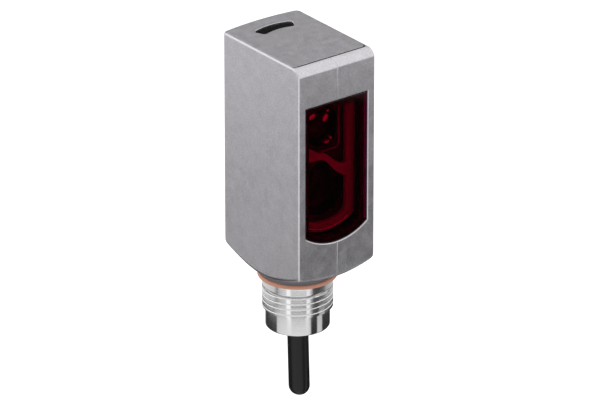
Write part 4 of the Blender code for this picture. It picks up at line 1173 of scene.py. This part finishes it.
def turn_share(tree, place):
    """The direction of place round the upright axis, from 0 to 1, with the camera's side at 0.5."""
    ahead, right = direction(0.0), direction(math.pi / 2)
    turn = math_node(tree, "ARCTAN2", dot_with(tree, place, right), dot_with(tree, place, ahead))
    return math_node(tree, "ADD", math_node(tree, "DIVIDE", turn, 2 * math.pi), 0.5)


def within(tree, value, bounds):
    """1 between the two inner bounds, 0 outside the two outer ones."""
    return math_node(tree, "SUBTRACT", step_up(tree, value, *bounds[:2]), step_up(tree, value, *bounds[2:]))


def ray_kinds(tree):
    """Whether a ray comes from the camera, straight or through a pane, and whether off a glossy face."""
    path = add_node(tree, "ShaderNodeLightPath").outputs
    seen = math_node(tree, "MAXIMUM", path["Is Camera Ray"], path["Is Transmission Ray"])
    return seen, path["Is Glossy Ray"]


def make_studio_light():
    """White surroundings, whose brighter and darker sides give the bare metal its tones."""
    world = bpy.data.worlds.new("studio")
    bpy.context.scene.world = world
    world.use_nodes = True
    world.cycles.sampling_method = "NONE"
    tree = world.node_tree
    look = add_node(tree, "ShaderNodeTexCoord").outputs["Generated"]
    share = turn_share(tree, look)
    low = azimuth_ramp(tree, share, AROUND_LOW, "around low")
    high = azimuth_ramp(tree, share, AROUND_HIGH, "around high")
    mirrored = mix_by(tree, step_up(tree, dot_with(tree, look, UP), *AROUND_BLEND), low, high)
    seen, glossy = ray_kinds(tree)
    colour = mix_by(tree, seen, mix_by(tree, glossy, AMBIENT, mirrored), 1.0)
    tree.links.new(colour, tree.nodes["Background"].inputs["Color"])


def add_softbox(name, turn, elevation, distance, size, radiance):
    """A square soft light that faces the housing's middle and isn't mirrored in metal."""
    data = bpy.data.lights.new(name, "AREA")
    data.shape = "SQUARE"
    data.size = size
    data.energy = radiance * math.pi * size**2
    away = direction(math.radians(turn), math.radians(elevation))
    lamp = put_facing(name, data, UP * (TOP / 2), away, distance)
    lamp.visible_glossy = False


def floor_in_metal(tree):
    """What bare metal mirrors of the floor: bright paper with soft dark cards in rings and sectors."""
    place = object_place(tree)
    length = add_node(tree, "ShaderNodeVectorMath", operation="LENGTH")
    tree.links.new(place, length.inputs[0])
    reach = length.outputs["Value"]
    share = turn_share(tree, place)
    colour = azimuth_ramp(tree, share, FLOOR_BY_COLLAR, "by collar")
    for fade_from, fade_to, stops, label in FLOOR_RINGS:
        beyond = azimuth_ramp(tree, share, stops, label)
        colour = mix_by(tree, step_up(tree, reach, fade_from, fade_to), colour, beyond)
    beside = within(tree, share, [share_of_turn(degrees) for degrees in CARD_TURN])
    card = math_node(tree, "MULTIPLY", beside, within(tree, reach, CARD_REACH))
    return mix_by(tree, card, colour, CARD_TONE)


def floor_paper():
    """Seen directly the floor is white, apart from the shadow on it. Metal mirrors its own tones."""
    made, tree, shader = new_material("pale_floor", (FLOOR_TONE,) * 3, 0.9, Specular_IOR_Level=0.0)
    made.cycles.emission_sampling = "NONE"
    seen, glossy = ray_kinds(tree)
    tree.links.new(mix_by(tree, glossy, 1.0, floor_in_metal(tree)), shader.inputs["Emission Color"])
    direct = math_node(tree, "MULTIPLY", seen, FLOOR_GLOW)
    tree.links.new(math_node(tree, "MAXIMUM", direct, glossy), shader.inputs["Emission Strength"])
    tree.links.new(mix_by(tree, glossy, FLOOR_TONE, 0.0), shader.inputs["Base Color"])
    return made


def make_floor():
    bm = bmesh.new()
    half = FLOOR_SIZE / 2
    corners = [(-half, -half), (half, -half), (half, half), (-half, half)]
    bm.faces.new([bm.verts.new((x, y, 0.0)) for x, y in corners])
    floor = mesh_object("floor", bm)
    floor.location.z = CABLE_LOW.z - FLOOR_DROP
    floor.data.materials.append(floor_paper())


bpy.context.scene.view_settings.view_transform = "Standard"
finish_nodes()
make_pieces()
make_camera()
make_studio_light()
for name, place in SOFTBOXES.items():
    add_softbox(name, *place)
make_floor()
